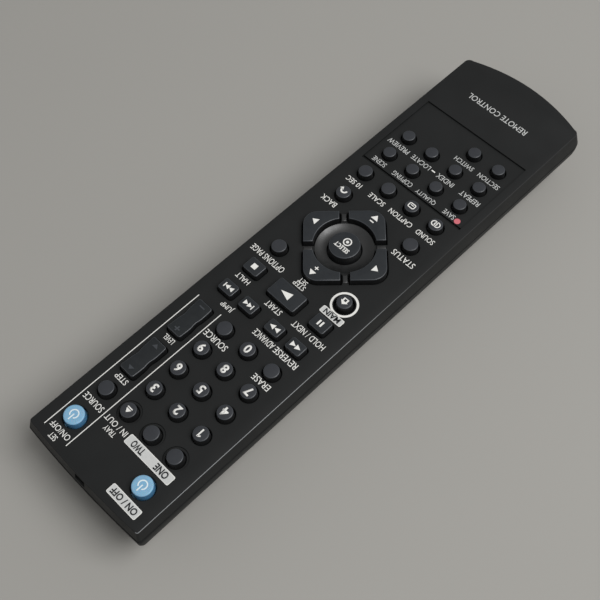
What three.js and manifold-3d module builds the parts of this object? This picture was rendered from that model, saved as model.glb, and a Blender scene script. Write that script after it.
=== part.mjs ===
// A handheld remote control with rubber keys in a two-part plastic case, in millimetres.
// The case lies on its underside with the key face up. +X is to the right of someone who
// reads the keys, +Y points to the infra-red end, and the origin is below the middle.

import * as THREE from "three";
import { ConvexGeometry } from "three/addons/geometries/ConvexGeometry.js";
import { mergeVertices } from "three/addons/utils/BufferGeometryUtils.js";
import Module from "manifold-3d";

// Case outline
const FACE_WIDTH = 48;
const FACE_LENGTH = 196.9;
const FRONT_CROWN = 0.8;
const END_CROWN = 4.8;
const WALL_FLARE = 1.1;
const WAIST_DEPTH = 4.9;
const BELLY_DEPTH = 4.9;
const BELLY_SIDE = 16;
const BELLY_FRONT = 18;
const BELLY_END = 10;
const FRONT_CORNER = 0.8;
const FRONT_WAIST_CORNER = 1;
const END_CORNER = 2;
const END_WAIST_CORNER = 3.5;
const BELLY_CORNER_GROWTH = 5;
const LEAST_CORNER = 0.8;
const DECK = 2;
const WALL = 2;

// Seam between the two halves, which slopes down towards the battery end
const SEAM_DEPTH_FRONT = 4.2;
const SEAM_DEPTH_END = 5.5;
const SEAM = 0.3;
const LIP_HEIGHT = 1.4;
const LIP_WALL = 0.85;

// Layers between the deck and the underside
const CLEARANCE = 0.3;
const KEY_RISE = 2;
const KEY_TRAVEL = 1;
const KEY_GAP = 0.35;
const KEY_EDGE = 0.35;
const FLANGE = 0.8;
const FLANGE_REACH = 0.8;
const CONTACT_GAP = 0.15;
const MAT = 0.8;
const MAT_ROOM = 0.4;
const BOARD = 1.2;
const BAY_WALL = 1;
const DOOR = 2;
const CELL_DIAMETER = 10.5;
const CELL_BODY = 43.5;
const CELL_CAP = 1;
const CELL_CAP_DIAMETER = 3.8;
const CELL_EDGE = 0.5;

// Keys
const KEY_RADIUS = 2.6;
const KEY_DRAFT = 0.15;
const POWER_RADIUS = 3.35;
const SIDE_KEY_RADIUS = 2.5;
const PANEL_KEY_RADIUS = 2.3;
const PANEL_KEY_RISE = 1.9;
const ENTER_RADIUS = 5.15;
const PLUNGER_RADIUS = 1.6;
const SEEK_WIDTH = 5.9;
const SEEK_HEIGHT = 4.4;
const STOP_WIDTH = 6.2;
const STOP_HEIGHT = 5;
const PLAY_WIDTH = 11.5;
const PLAY_HEIGHT = 6.8;
const ROCKER_WIDTH = 5.9;
const ROCKER_SPACE = 4.7;
const ROCKER_WAIST = 0.35;
const ROCKER_DIP = 0.4;
const ROCKER_TURN = THREE.MathUtils.degToRad(5);
const KEY_CORNER = 0.8;
const COLUMN_PITCH = 10.1;
const SEEK_COLUMN = 14.6;
const SKIP_COLUMN = 5.6;
const STOP_COLUMN = 14.3;
const CORNER_COLUMN = 14.45;
const HOME_COLUMN = 14.2;

// Direction pad, a square on its corner
const PAD_REACH = 13;
const PAD_CORNER = 4.6;
const PAD_INNER = 9.95;
const PAD_SPLIT = 2.9;
const DISH_RADIUS = 9.3;
const DISH_DEPTH = 1;
const DISH_MIDDLE_DEPTH = 0.75;

// Recessed panel, key collars and infra-red window in the deck
const PANEL_WIDTH = 42.2;
const PANEL_DEPTH = 0.6;
const PANEL_RAMP = 1.8;
const PANEL_GROOVE = 0.5;
const PANEL_GROOVE_DEPTH = 0.4;
const COLLAR_REACH = 0.6;
const COLLAR_DEPTH = 0.3;
const WINDOW_WIDTH = 4.2;
const WINDOW_HEIGHT = 2.7;
const WINDOW_DROP = 0.5;

// Circuit board, light-emitting diode and posts
const BOARD_MARGIN = 3;
const BOARD_FRONT = 5;
const BOARD_END = 18;
const CHIP_WIDTH = 9;
const CHIP_LENGTH = 18;
const CHIP_HEIGHT = 2.4;
const CAPACITOR_RADIUS = 2.5;
const CAPACITOR_HEIGHT = 6;
const LED_RADIUS = 1.5;
const LED_LENGTH = 5.2;
const LED_COLLAR = 0.4;
const LED_POCKET = 1;
const LEG = 0.6;
const LEG_PITCH = 2.54;
const POST_RADIUS = 2;
const PIN_RADIUS = 0.8;

// Battery bay, contacts and door
const BAY_END = 9;
const SPRING_LENGTH = 3.8;
const SPRING_WIRE = 0.35;
const SPRING_RADIUS = 3.3;
const SPRING_TIP_RADIUS = 2.1;
const SPRING_TURNS = 4;
const CONTACT = 0.5;
const CONTACT_WIDTH = 8.5;
const CONTACT_HEIGHT = 8.5;
const CONTACT_BUMP = 0.5;
const CONTACT_BUMP_RADIUS = 1.5;
const STRIP = 3;
const DOOR_WIDTH = 24.4;
const DOOR_LAP = 3;
const DOOR_RISE = 8.5;
const RAIL = 1.2;
const RAIL_LIP = 1;
const GRIP_RIBS = 6;
const GRIP_PITCH = 1.8;
const GRIP_WIDTH = 12;
const GRIP_DEPTH = 0.5;
const GRIP_SLOT = 0.8;
const GRIP_START = 4;

// Overrun of cutters, and the sides that round shapes are drawn with
const OVERRUN = 1;
const KEY_SIDES = 14;
const PLUNGER_SIDES = 6;
const FINE_SIDES = 20;
const WIRE_SIDES = 5;
const CORNER_STEPS = 2;
const HOLLOW_STEPS = 6;

// Heights, worked up from the underside
const doorTop = DOOR;
const cellZ = doorTop + CLEARANCE + CELL_DIAMETER / 2;
const bayCeiling = cellZ + CELL_DIAMETER / 2 + CLEARANCE;
const bayTop = bayCeiling + BAY_WALL;
const boardBottom = bayTop + CLEARANCE;
const boardTop = boardBottom + BOARD;
const matBottom = boardTop + CLEARANCE;
const matTop = matBottom + MAT;
const flangeBottom = matTop + MAT_ROOM + KEY_TRAVEL;
const flangeTop = flangeBottom + FLANGE;
const deckBottom = flangeTop + CLEARANCE;
const faceZ = deckBottom + DECK;
const keyTop = faceZ + KEY_RISE;
const panelKeyTop = faceZ - PANEL_DEPTH + PANEL_KEY_RISE;
const plungerBottom = boardTop + CONTACT_GAP + KEY_TRAVEL;
const bellyTop = faceZ - BELLY_DEPTH;

// Places along the case, from the infra-red end of the face
const frontY = FACE_LENGTH / 2;
const endY = -FACE_LENGTH / 2;
const rowShares = {
  power: 0.0538,
  mode: 0.1143,
  digit1: 0.1639,
  digit4: 0.2106,
  digit7: 0.2573,
  digit0: 0.3041,
  channel: 0.1859,
  volume: 0.2788,
  seek: 0.3573,
  play: 0.4111,
  home: 0.4637,
  menu: 0.4652,
  pad: 0.5383,
  display: 0.6115,
  audio: 0.6673,
  record: 0.7257,
  playMode: 0.7735,
  chapter: 0.8222,
};
const panelShares = { front: 0.6929, end: 0.8569 };
const postShares = { front: 0.084, middle: 0.331, back: 0.648 };
const row = (share) => frontY - FACE_LENGTH * share;
const rockerLength = row(rowShares.channel) - row(rowShares.volume) - ROCKER_SPACE;

// Columns of the key grid, as shares of its pitch
const columnShares = [-1.5, -0.5, 0.5, 1.5];
const column = (number) => columnShares[number] * COLUMN_PITCH;

// Battery bay, from its end wall
const cellPitch = CELL_DIAMETER + CLEARANCE;
const bayHalf = cellPitch / 2 + CELL_DIAMETER / 2 + CLEARANCE;
const contactRoom = CLEARANCE + CONTACT;
const cellLength = CELL_BODY + CELL_CAP;
const bayLength = 2 * contactRoom + SPRING_LENGTH + CONTACT_BUMP + cellLength + 2 * CLEARANCE;
const bayBack = endY + BAY_END;
const bayFront = bayBack + bayLength;
const doorFront = bayFront + BAY_WALL + DOOR_LAP;

const wasm = await Module();
wasm.setup();

// Turns a closed geometry into a solid that can be joined and cut.
function solidOf(geometry) {
  const bare = geometry.clone();
  bare.deleteAttribute("normal");
  bare.deleteAttribute("uv");
  const merged = mergeVertices(bare);
  const vertProperties = new Float32Array(merged.getAttribute("position").array);
  const triVerts = new Uint32Array(merged.index.array);
  return new wasm.Manifold(new wasm.Mesh({ numProp: 3, vertProperties, triVerts }));
}

function geometryOf(solid) {
  const mesh = solid.getMesh();
  const geometry = new THREE.BufferGeometry();
  const positions = new THREE.BufferAttribute(new Float32Array(mesh.vertProperties), 3);
  geometry.setAttribute("position", positions);
  geometry.setIndex(new THREE.BufferAttribute(new Uint32Array(mesh.triVerts), 1));
  const flat = geometry.toNonIndexed();
  flat.computeVertexNormals();
  return flat;
}

function joined(solids) {
  return solids.reduce((whole, next) => whole.add(next));
}

function box(x0, x1, y0, y1, z0, z1) {
  const geometry = new THREE.BoxGeometry(x1 - x0, y1 - y0, z1 - z0);
  geometry.translate((x0 + x1) / 2, (y0 + y1) / 2, (z0 + z1) / 2);
  return solidOf(geometry);
}

// A prism with the given plan outline between two heights.
function prism(shape, z0, z1) {
  const settings = { depth: z1 - z0, bevelEnabled: false, curveSegments: CORNER_STEPS };
  const geometry = new THREE.ExtrudeGeometry(shape, settings);
  geometry.translate(0, 0, z0);
  return solidOf(geometry);
}

// An upright turned shape at x, y, whose profile points are [radius, height].
function turned(profile, x, y, sides) {
  const points = profile.map(([radius, height]) => new THREE.Vector2(radius, height));
  const geometry = new THREE.LatheGeometry(points, sides);
  geometry.rotateX(Math.PI / 2);
  geometry.translate(x, y, 0);
  return solidOf(geometry);
}

function post(radius, x, y, z0, z1, sides) {
  return turned([[0, z0], [radius, z0], [radius, z1], [0, z1]], x, y, sides);
}

// A turned shape along Y, whose profile points are [radius, distance along Y].
function turnedAlongY(profile, x, z, sides) {
  const points = profile.map(([radius, along]) => new THREE.Vector2(radius, along));
  const geometry = new THREE.LatheGeometry(points, sides);
  geometry.translate(x, 0, z);
  return solidOf(geometry);
}

// Case halves

// Points of one end of a plan outline of the case: a crowned edge between two rounded corners.
// The edge bows out towards the way, which is 1 at the infra-red end and -1 at the other.
function endPoints(halfWidth, tip, way, crown, corner, z) {
  const points = [];
  const inner = halfWidth - corner;
  const quarter = Math.PI / 2;
  const innerDrop = (inner / halfWidth) ** 2;
  const cornerY = tip - way * (crown * innerDrop + corner);
  const crownShares = [0, 0.25, 0.5, 0.75, 0.92];
  for (const side of [-1, 1]) {
    for (const share of crownShares) {
      const x = side * share * inner;
      const drop = (x / halfWidth) ** 2;
      points.push(new THREE.Vector3(x, tip - way * crown * drop, z));
    }
    for (let step = 0; step <= CORNER_STEPS + 1; step++) {
      const angle = (quarter * step) / (CORNER_STEPS + 1);
      const across = side * (inner + corner * Math.cos(angle));
      points.push(new THREE.Vector3(across, cornerY + way * corner * Math.sin(angle), z));
    }
  }
  return points;
}

// Points of one plan outline of the case.
function outlinePoints({ halfWidth, front, end, frontCorner, endCorner, z }) {
  return [
    ...endPoints(halfWidth, front, 1, FRONT_CROWN, frontCorner, z),
    ...endPoints(halfWidth, end, -1, END_CROWN, endCorner, z),
  ];
}

// The case's outer form drawn in by an inset, which is a convex body up to the given height.
function caseForm(inset, top) {
  const bellySteps = 7;
  const drawnIn = (corner) => Math.max(corner - inset, LEAST_CORNER);
  const face = {
    halfWidth: FACE_WIDTH / 2 - inset,
    front: frontY - inset,
    end: endY + inset,
    frontCorner: drawnIn(FRONT_CORNER),
    endCorner: drawnIn(END_CORNER),
    z: top,
  };
  const waist = {
    halfWidth: FACE_WIDTH / 2 + WALL_FLARE - inset,
    front: frontY + WALL_FLARE - inset,
    end: endY - WALL_FLARE + inset,
    frontCorner: drawnIn(FRONT_WAIST_CORNER),
    endCorner: drawnIn(END_WAIST_CORNER),
    z: faceZ - WAIST_DEPTH,
  };
  const points = [...outlinePoints(face), ...outlinePoints(waist)];
  for (let step = 0; step <= bellySteps; step++) {
    const angle = ((Math.PI / 2) * step) / bellySteps;
    const drawn = 1 - Math.cos(angle);
    const belly = {
      halfWidth: waist.halfWidth - (BELLY_SIDE - inset) * drawn,
      front: waist.front - (BELLY_FRONT - inset) * drawn,
      end: waist.end + (BELLY_END - inset) * drawn,
      frontCorner: waist.frontCorner + BELLY_CORNER_GROWTH * drawn,
      endCorner: waist.endCorner + BELLY_CORNER_GROWTH * drawn,
      z: inset + (bellyTop - inset) * (1 - Math.sin(angle)),
    };
    points.push(...outlinePoints(belly));
  }
  return solidOf(new ConvexGeometry(points));
}

// Everything below the seam's plane once that is raised by the given lift.
function belowSeam(lift) {
  const slope = Math.atan((SEAM_DEPTH_END - SEAM_DEPTH_FRONT) / FACE_LENGTH);
  const middle = faceZ - (SEAM_DEPTH_FRONT + SEAM_DEPTH_END) / 2;
  const geometry = new THREE.BoxGeometry(2 * FACE_WIDTH, 2 * FACE_LENGTH, 2 * faceZ);
  geometry.translate(0, 0, -faceZ);
  geometry.rotateX(slope);
  geometry.translate(0, 0, middle + lift);
  return solidOf(geometry);
}

const cavity = caseForm(WALL, deckBottom);

// Where the diode lies, below its pocket in the deck
const ledZ = deckBottom + LED_POCKET - CLEARANCE - LED_COLLAR - LED_RADIUS;
const ledFront = frontY - WALL - CLEARANCE;
const ledBack = ledFront - LED_LENGTH;
const legEnd = ledBack - LEG_PITCH;

function ledPocket() {
  const half = LED_RADIUS + LED_COLLAR + CLEARANCE;
  const back = ledBack - CLEARANCE;
  return box(-half, half, back, ledFront + CLEARANCE, deckBottom - OVERRUN, deckBottom + LED_POCKET);
}

function infraRedWindow() {
  const top = faceZ - WINDOW_DROP;
  const back = frontY - WALL - OVERRUN;
  const front = frontY + WALL_FLARE + OVERRUN;
  return box(-WINDOW_WIDTH / 2, WINDOW_WIDTH / 2, back, front, top - WINDOW_HEIGHT, top);
}

// The panel's floor, with a ramp and a groove at its foot along the infra-red end's side.
function panelRecess() {
  const front = row(panelShares.front);
  const end = row(panelShares.end);
  const shape = new THREE.Shape();
  shape.moveTo(end, 0);
  shape.lineTo(end, -PANEL_DEPTH);
  shape.lineTo(front - PANEL_GROOVE, -PANEL_DEPTH);
  shape.lineTo(front - PANEL_GROOVE, -PANEL_DEPTH - PANEL_GROOVE_DEPTH);
  shape.lineTo(front, -PANEL_DEPTH - PANEL_GROOVE_DEPTH);
  shape.lineTo(front, -PANEL_DEPTH);
  shape.lineTo(front + PANEL_RAMP, 0);
  shape.lineTo(front + PANEL_RAMP, OVERRUN);
  shape.lineTo(end, OVERRUN);
  const settings = { depth: PANEL_WIDTH, bevelEnabled: false };
  const geometry = new THREE.ExtrudeGeometry(shape, settings);
  geometry.rotateX(Math.PI / 2);
  geometry.rotateZ(Math.PI / 2);
  geometry.translate(-PANEL_WIDTH / 2, 0, faceZ);
  return solidOf(geometry);
}

function dish(y) {
  const inner = ENTER_RADIUS + KEY_GAP;
  const floor = faceZ - DISH_DEPTH;
  const middle = (inner + DISH_RADIUS) / 2;
  const profile = [
    [0, floor],
    [inner, floor],
    [middle, faceZ - DISH_MIDDLE_DEPTH],
    [DISH_RADIUS, faceZ],
    [DISH_RADIUS, faceZ + OVERRUN],
    [0, faceZ + OVERRUN],
  ];
  return turned(profile, 0, y, FINE_SIDES);
}

// Keys

// A rounded rectangle about x, y, pinched at the middle of its long sides by the waist.
function barShape(x, y, width, height, corner, waist) {
  const shape = new THREE.Shape();
  const left = x - width / 2;
  const right = x + width / 2;
  const low = y - height / 2;
  const high = y + height / 2;
  const quarter = Math.PI / 2;
  shape.moveTo(right, low + corner);
  if (waist > 0) {
    shape.lineTo(right, y - 2 * waist);
    shape.lineTo(right - waist, y);
    shape.lineTo(right, y + 2 * waist);
  }
  shape.lineTo(right, high - corner);
  shape.absarc(right - corner, high - corner, corner, 0, quarter, false);
  shape.lineTo(left + corner, high);
  shape.absarc(left + corner, high - corner, corner, quarter, 2 * quarter, false);
  if (waist > 0) {
    shape.lineTo(left, y + 2 * waist);
    shape.lineTo(left + waist, y);
    shape.lineTo(left, y - 2 * waist);
  }
  shape.lineTo(left, low + corner);
  shape.absarc(left + corner, low + corner, corner, 2 * quarter, 3 * quarter, false);
  shape.lineTo(right - corner, low);
  shape.absarc(right - corner, low + corner, corner, 3 * quarter, 4 * quarter, false);
  return shape;
}

// One of the four corner pads, grown by a margin and turned to its place about the pad's middle.
function padShape(y, turn, grow) {
  const reach = PAD_REACH + grow;
  const half = PAD_SPLIT / 2 - grow;
  const inner = PAD_INNER - grow;
  const corner = PAD_CORNER + grow;
  const root = Math.SQRT1_2;
  const along = Math.sqrt(inner * inner - half * half);
  const tip = reach / root;
  const points = [
    [(along - half) * root, (along + half) * root],
    [(reach - half) * root, (reach + half) * root],
  ];
  const tipSteps = 2 * CORNER_STEPS;
  for (let step = 0; step <= tipSteps; step++) {
    const angle = Math.PI / 4 + ((Math.PI / 2) * step) / tipSteps;
    points.push([corner * Math.cos(angle), tip - corner / root + corner * Math.sin(angle)]);
  }
  points.push([-(reach - half) * root, (reach + half) * root]);
  const end = Math.atan2((along + half) * root, -(along - half) * root);
  const start = Math.PI - end;
  const innerSteps = 8;
  for (let step = 0; step < innerSteps; step++) {
    const angle = end + ((start - end) * step) / innerSteps;
    points.push([inner * Math.cos(angle), inner * Math.sin(angle)]);
  }
  const placed = points.map(([across, out]) => {
    const spot = new THREE.Vector2(across, out).rotateAround(new THREE.Vector2(0, 0), turn);
    return spot.add(new THREE.Vector2(0, y));
  });
  return new THREE.Shape(placed);
}

// A key's plan outline, grown by a margin, where it isn't a circle.
function keyShape(key, grow) {
  if (key.turn !== undefined) return padShape(key.y, key.turn, grow);
  const corner = KEY_CORNER + grow;
  const width = key.width + 2 * grow;
  const height = key.height + 2 * grow;
  return barShape(key.x, key.y, width, height, corner, key.waist ?? 0);
}

// A key's plan form between two heights: a circle, a bar or a pad, grown by a margin.
function keyPlan(key, grow, z0, z1) {
  if (key.radius) return post(key.radius + grow, key.x, key.y, z0, z1, key.sides);
  return prism(keyShape(key, grow), z0, z1);
}

// A bar's or a pad's cap with chamfered edges.
function keyCap(key, z0, z1) {
  const settings = {
    depth: z1 - z0 - 2 * KEY_EDGE,
    bevelThickness: KEY_EDGE,
    bevelSize: KEY_EDGE,
    bevelOffset: -KEY_EDGE,
    bevelSegments: 1,
    curveSegments: CORNER_STEPS,
  };
  const geometry = new THREE.ExtrudeGeometry(keyShape(key, 0), settings);
  geometry.translate(0, 0, z0 + KEY_EDGE);
  return solidOf(geometry);
}

// A round key's cap and flange, turned in one piece.
function roundCap(key) {
  const { radius, top } = key;
  const rim = radius + FLANGE_REACH;
  const profile = [
    [0, flangeBottom],
    [rim, flangeBottom],
    [rim, flangeTop],
    [radius, flangeTop],
    [radius - KEY_DRAFT, top - KEY_EDGE],
    [radius - KEY_DRAFT - KEY_EDGE, top],
    [0, top],
  ];
  return turned(profile, key.x, key.y, key.sides);
}

// How far a rocker's ends rise and fall, with its flange's reach.
const rockerSwing = (rockerLength / 2 + FLANGE_REACH) * Math.sin(ROCKER_TURN) + CONTACT_GAP;
const rockerPlunge = (rockerLength / 2) * Math.sin(ROCKER_TURN) + CONTACT_GAP;

// The shallow hollow across a rocker's top, between its two raised ends.
function rockerHollow(key) {
  const half = rockerLength / 2;
  const shape = new THREE.Shape();
  shape.moveTo(-half, OVERRUN);
  shape.lineTo(-half, 0);
  shape.quadraticCurveTo(0, -2 * ROCKER_DIP, half, 0);
  shape.lineTo(half, OVERRUN);
  const width = ROCKER_WIDTH + 2 * OVERRUN;
  const settings = { depth: width, bevelEnabled: false, curveSegments: HOLLOW_STEPS };
  const geometry = new THREE.ExtrudeGeometry(shape, settings);
  geometry.rotateX(Math.PI / 2);
  geometry.rotateZ(Math.PI / 2);
  geometry.translate(key.x - width / 2, key.y, keyTop);
  return solidOf(geometry);
}

// A key: its cap with a chamfered top, the flange that keeps it in, and its plungers.
function keySolid(key) {
  const drop = key.rocks ? rockerSwing - CLEARANCE : 0;
  const bottom = key.rocks ? boardTop + rockerPlunge : plungerBottom;
  const root = flangeTop - drop - FLANGE / 2;
  const parts = plungerSpots(key).map(([x, y]) =>
    post(PLUNGER_RADIUS, x, y, bottom, root, PLUNGER_SIDES),
  );
  if (key.radius) return joined([roundCap(key), ...parts]);
  const flange = keyPlan(key, FLANGE_REACH, flangeBottom - drop, flangeTop - drop);
  const cap = keyCap(key, root - KEY_EDGE / 2, keyTop);
  const whole = joined([cap, flange, ...parts]);
  return key.rocks ? whole.subtract(rockerHollow(key)) : whole;
}

// Where a key presses the board: under its middle, or under both ends of a rocker.
function plungerSpots(key) {
  if (key.rocks) {
    const reach = rockerLength / 2 - PLUNGER_RADIUS;
    return [[key.x, key.y - reach], [key.x, key.y + reach]];
  }
  if (key.turn === undefined) return [[key.x, key.y]];
  const out = PAD_REACH;
  return [[-out * Math.sin(key.turn), key.y + out * Math.cos(key.turn)]];
}

const roundKey = (name, x, y, radius = KEY_RADIUS, top = keyTop) => {
  const sides = radius > POWER_RADIUS ? FINE_SIDES : KEY_SIDES;
  return { name, x, y, radius, top, sides };
};
const barKey = (name, x, y, width, height) => ({ name, x, y, width, height });
const padKey = (name, turn) => ({ name, x: 0, y: row(rowShares.pad), turn });

function rockerKey(name, y) {
  const bar = barKey(name, column(3), y, ROCKER_WIDTH, rockerLength);
  return { ...bar, waist: ROCKER_WAIST, rocks: true };
}

function keyRow(names, share, radius, top) {
  return names.map((name, number) => roundKey(name, column(number), row(share), radius, top));
}

// A row of the small keys that stand in the panel.
function panelRow(names, share) {
  return keyRow(names, share, PANEL_KEY_RADIUS, panelKeyTop);
}

function digitKeys() {
  return [
    ...keyRow(["digit_1_key", "digit_2_key", "digit_3_key"], rowShares.digit1),
    ...keyRow(["digit_4_key", "digit_5_key", "digit_6_key"], rowShares.digit4),
    ...keyRow(["digit_7_key", "digit_8_key", "digit_9_key"], rowShares.digit7),
    ...keyRow(["clear_key", "digit_0_key", "input_key"], rowShares.digit0),
  ];
}

function playKeys() {
  const seekY = row(rowShares.seek);
  const playY = row(rowShares.play);
  return [
    barKey("seek_back_key", -SEEK_COLUMN, seekY, SEEK_WIDTH, SEEK_HEIGHT),
    barKey("seek_forward_key", -SKIP_COLUMN, seekY, SEEK_WIDTH, SEEK_HEIGHT),
    barKey("skip_back_key", SKIP_COLUMN, seekY, SEEK_WIDTH, SEEK_HEIGHT),
    barKey("skip_forward_key", SEEK_COLUMN, seekY, SEEK_WIDTH, SEEK_HEIGHT),
    barKey("pause_key", -STOP_COLUMN, playY, STOP_WIDTH, STOP_HEIGHT),
    barKey("play_key", 0, playY, PLAY_WIDTH, PLAY_HEIGHT),
    barKey("stop_key", STOP_COLUMN, playY, STOP_WIDTH, STOP_HEIGHT),
  ];
}

const modeKeys = keyRow(["mode_a_key", "mode_b_key", "eject_key"], rowShares.mode);
const audioNames = ["audio_key", "subtitle_key", "zoom_key", "jump_key"];
const keys = [
  roundKey("power_key", column(0), row(rowShares.power), POWER_RADIUS),
  roundKey("tv_power_key", column(3), row(rowShares.power), POWER_RADIUS),
  ...modeKeys,
  roundKey("tv_input_key", column(3), row(rowShares.mode)),
  ...digitKeys(),
  rockerKey("channel_rocker", row(rowShares.channel)),
  rockerKey("volume_rocker", row(rowShares.volume)),
  ...playKeys(),
  roundKey("home_key", -HOME_COLUMN, row(rowShares.home)),
  roundKey("menu_key", CORNER_COLUMN, row(rowShares.menu)),
  padKey("up_key", 0),
  padKey("left_key", Math.PI / 2),
  padKey("down_key", Math.PI),
  padKey("right_key", -Math.PI / 2),
  roundKey("enter_key", 0, row(rowShares.pad), ENTER_RADIUS),
  roundKey("display_key", -CORNER_COLUMN, row(rowShares.display)),
  roundKey("return_key", CORNER_COLUMN, row(rowShares.display)),
  ...keyRow(audioNames, rowShares.audio, SIDE_KEY_RADIUS),
  ...panelRow(["record_key", "record_mode_key", "copy_key", "title_key"], rowShares.record),
  ...panelRow(["play_mode_key", "marker_key", "search_key", "preview_key"], rowShares.playMode),
  ...panelRow(["chapter_key", "tv_switch_key"], rowShares.chapter),
];

// The top half: a deck with a hole for each key, and a skirt down to the seam.
function topCase() {
  const cutters = keys.map((key) =>
    keyPlan(key, KEY_GAP, deckBottom - OVERRUN, faceZ + OVERRUN),
  );
  const collars = modeKeys.map((key) =>
    keyPlan(key, KEY_GAP + COLLAR_REACH, faceZ - COLLAR_DEPTH, faceZ + OVERRUN),
  );
  const lipRoom = caseForm(LIP_WALL, faceZ).intersect(belowSeam(LIP_HEIGHT + SEAM));
  return caseForm(0, faceZ)
    .subtract(belowSeam(SEAM / 2))
    .subtract(cavity)
    .subtract(lipRoom)
    .subtract(joined([...cutters, ...collars, dish(row(rowShares.pad)), panelRecess()]))
    .subtract(infraRedWindow().add(ledPocket()));
}

// The space that the battery door fills, wider by a margin, with room for its rails.
function doorRoom(margin) {
  const half = DOOR_WIDTH / 2 + margin;
  const front = doorFront + margin;
  const back = endY - WALL_FLARE - OVERRUN;
  const plate = box(-half, half, back, front, -OVERRUN, doorTop + margin);
  const rails = box(-half - RAIL, half + RAIL, back, front, RAIL_LIP, doorTop + margin);
  const cap = box(-half, half, back, bayBack - BAY_WALL, -OVERRUN, DOOR_RISE + margin);
  return joined([plate, rails, cap]);
}

// Posts that carry the circuit board, each with a pin through it.
function boardPosts() {
  return Object.values(postShares).flatMap((share) => [
    post(POST_RADIUS, 0, row(share), DOOR / 2, boardBottom - CLEARANCE, PLUNGER_SIDES),
    post(PIN_RADIUS, 0, row(share), DOOR / 2, matTop, PLUNGER_SIDES),
  ]);
}

// Slots in the bay's ceiling for the strips that climb to the circuit board.
function stripSlots() {
  const half = STRIP / 2 + CLEARANCE;
  const back = bayFront - contactRoom - CLEARANCE;
  const slot = (x) => box(x - half, x + half, back, bayFront, bayCeiling - OVERRUN, bayTop + OVERRUN);
  return joined([slot(-cellPitch / 2), slot(cellPitch / 2)]);
}

// The bottom half: a rounded tub with the battery bay, board posts and the seam's inner lip.
function bottomCase() {
  const lip = caseForm(LIP_WALL + SEAM, faceZ).intersect(belowSeam(LIP_HEIGHT));
  const tub = caseForm(0, faceZ).intersect(belowSeam(-SEAM / 2)).add(lip).subtract(cavity);
  const half = bayHalf + BAY_WALL;
  const bay = box(-half, half, bayBack - BAY_WALL, bayFront + BAY_WALL, DOOR / 2, bayTop);
  const ledgeHalf = DOOR_WIDTH / 2 + RAIL + CLEARANCE + BAY_WALL;
  const ledgeTop = doorTop + CLEARANCE + BAY_WALL;
  const ledge = box(-ledgeHalf, ledgeHalf, endY - WALL, doorFront + WALL, DOOR / 2, ledgeTop);
  const capHalf = DOOR_WIDTH / 2 + CLEARANCE + BAY_WALL;
  const cap = box(-capHalf, capHalf, endY - WALL, bayBack, DOOR / 2, DOOR_RISE + CLEARANCE + BAY_WALL);
  const inside = caseForm(WALL / 2, faceZ).intersect(joined([bay, ledge, cap, ...boardPosts()]));
  const room = box(-bayHalf, bayHalf, bayBack, bayFront, -OVERRUN, bayCeiling);
  return tub.add(inside).subtract(room).subtract(doorRoom(CLEARANCE)).subtract(stripSlots());
}

// Ribbed thumb grip across the door near its front edge.
function gripSlots() {
  const slots = [];
  for (let number = 0; number < GRIP_RIBS; number++) {
    const y = doorFront - GRIP_START - number * GRIP_PITCH;
    slots.push(box(-GRIP_WIDTH / 2, GRIP_WIDTH / 2, y - GRIP_SLOT, y, -OVERRUN, GRIP_DEPTH));
  }
  return joined(slots);
}

// The battery door: part of the tub's shell with a rail along each side.
function batteryDoor() {
  const half = DOOR_WIDTH / 2;
  const outer = caseForm(0, faceZ);
  const shell = outer.subtract(caseForm(DOOR, faceZ));
  const plate = box(-half, half, endY - WALL, doorFront, -OVERRUN, doorTop);
  const cap = box(-half, half, endY - WALL, bayBack - BAY_WALL - CLEARANCE, -OVERRUN, DOOR_RISE);
  const railBottom = RAIL_LIP + CLEARANCE;
  const rails = box(-half - RAIL, half + RAIL, bayBack, doorFront, railBottom, doorTop);
  return shell.intersect(plate.add(cap)).add(rails.intersect(outer)).subtract(gripSlots());
}

// Inside pieces

function matHoles() {
  const radius = PLUNGER_RADIUS + CLEARANCE + KEY_GAP;
  const bottom = matBottom - OVERRUN;
  const top = matTop + OVERRUN;
  const holes = keys.flatMap((key) =>
    plungerSpots(key).map(([x, y]) => post(radius, x, y, bottom, top, PLUNGER_SIDES)),
  );
  return joined([...holes, ...pinHoles(bottom, top)]);
}

function pinHoles(bottom, top) {
  const radius = PIN_RADIUS + CLEARANCE;
  return Object.values(postShares).map((share) =>
    post(radius, 0, row(share), bottom, top, PLUNGER_SIDES),
  );
}

function boardPlan(z0, z1) {
  const half = FACE_WIDTH / 2 - BOARD_MARGIN + WALL_FLARE;
  return box(-half, half, endY + BOARD_END, frontY - BOARD_FRONT, z0, z1);
}

// The notch in the mat's front edge that leaves room for the diode and its legs.
function ledNotch() {
  const half = LED_RADIUS + LED_COLLAR + CLEARANCE;
  return box(-half, half, legEnd - CLEARANCE, frontY, matBottom - OVERRUN, matTop + OVERRUN);
}

function keyMat() {
  return boardPlan(matBottom, matTop).subtract(matHoles().add(ledNotch()));
}

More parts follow.
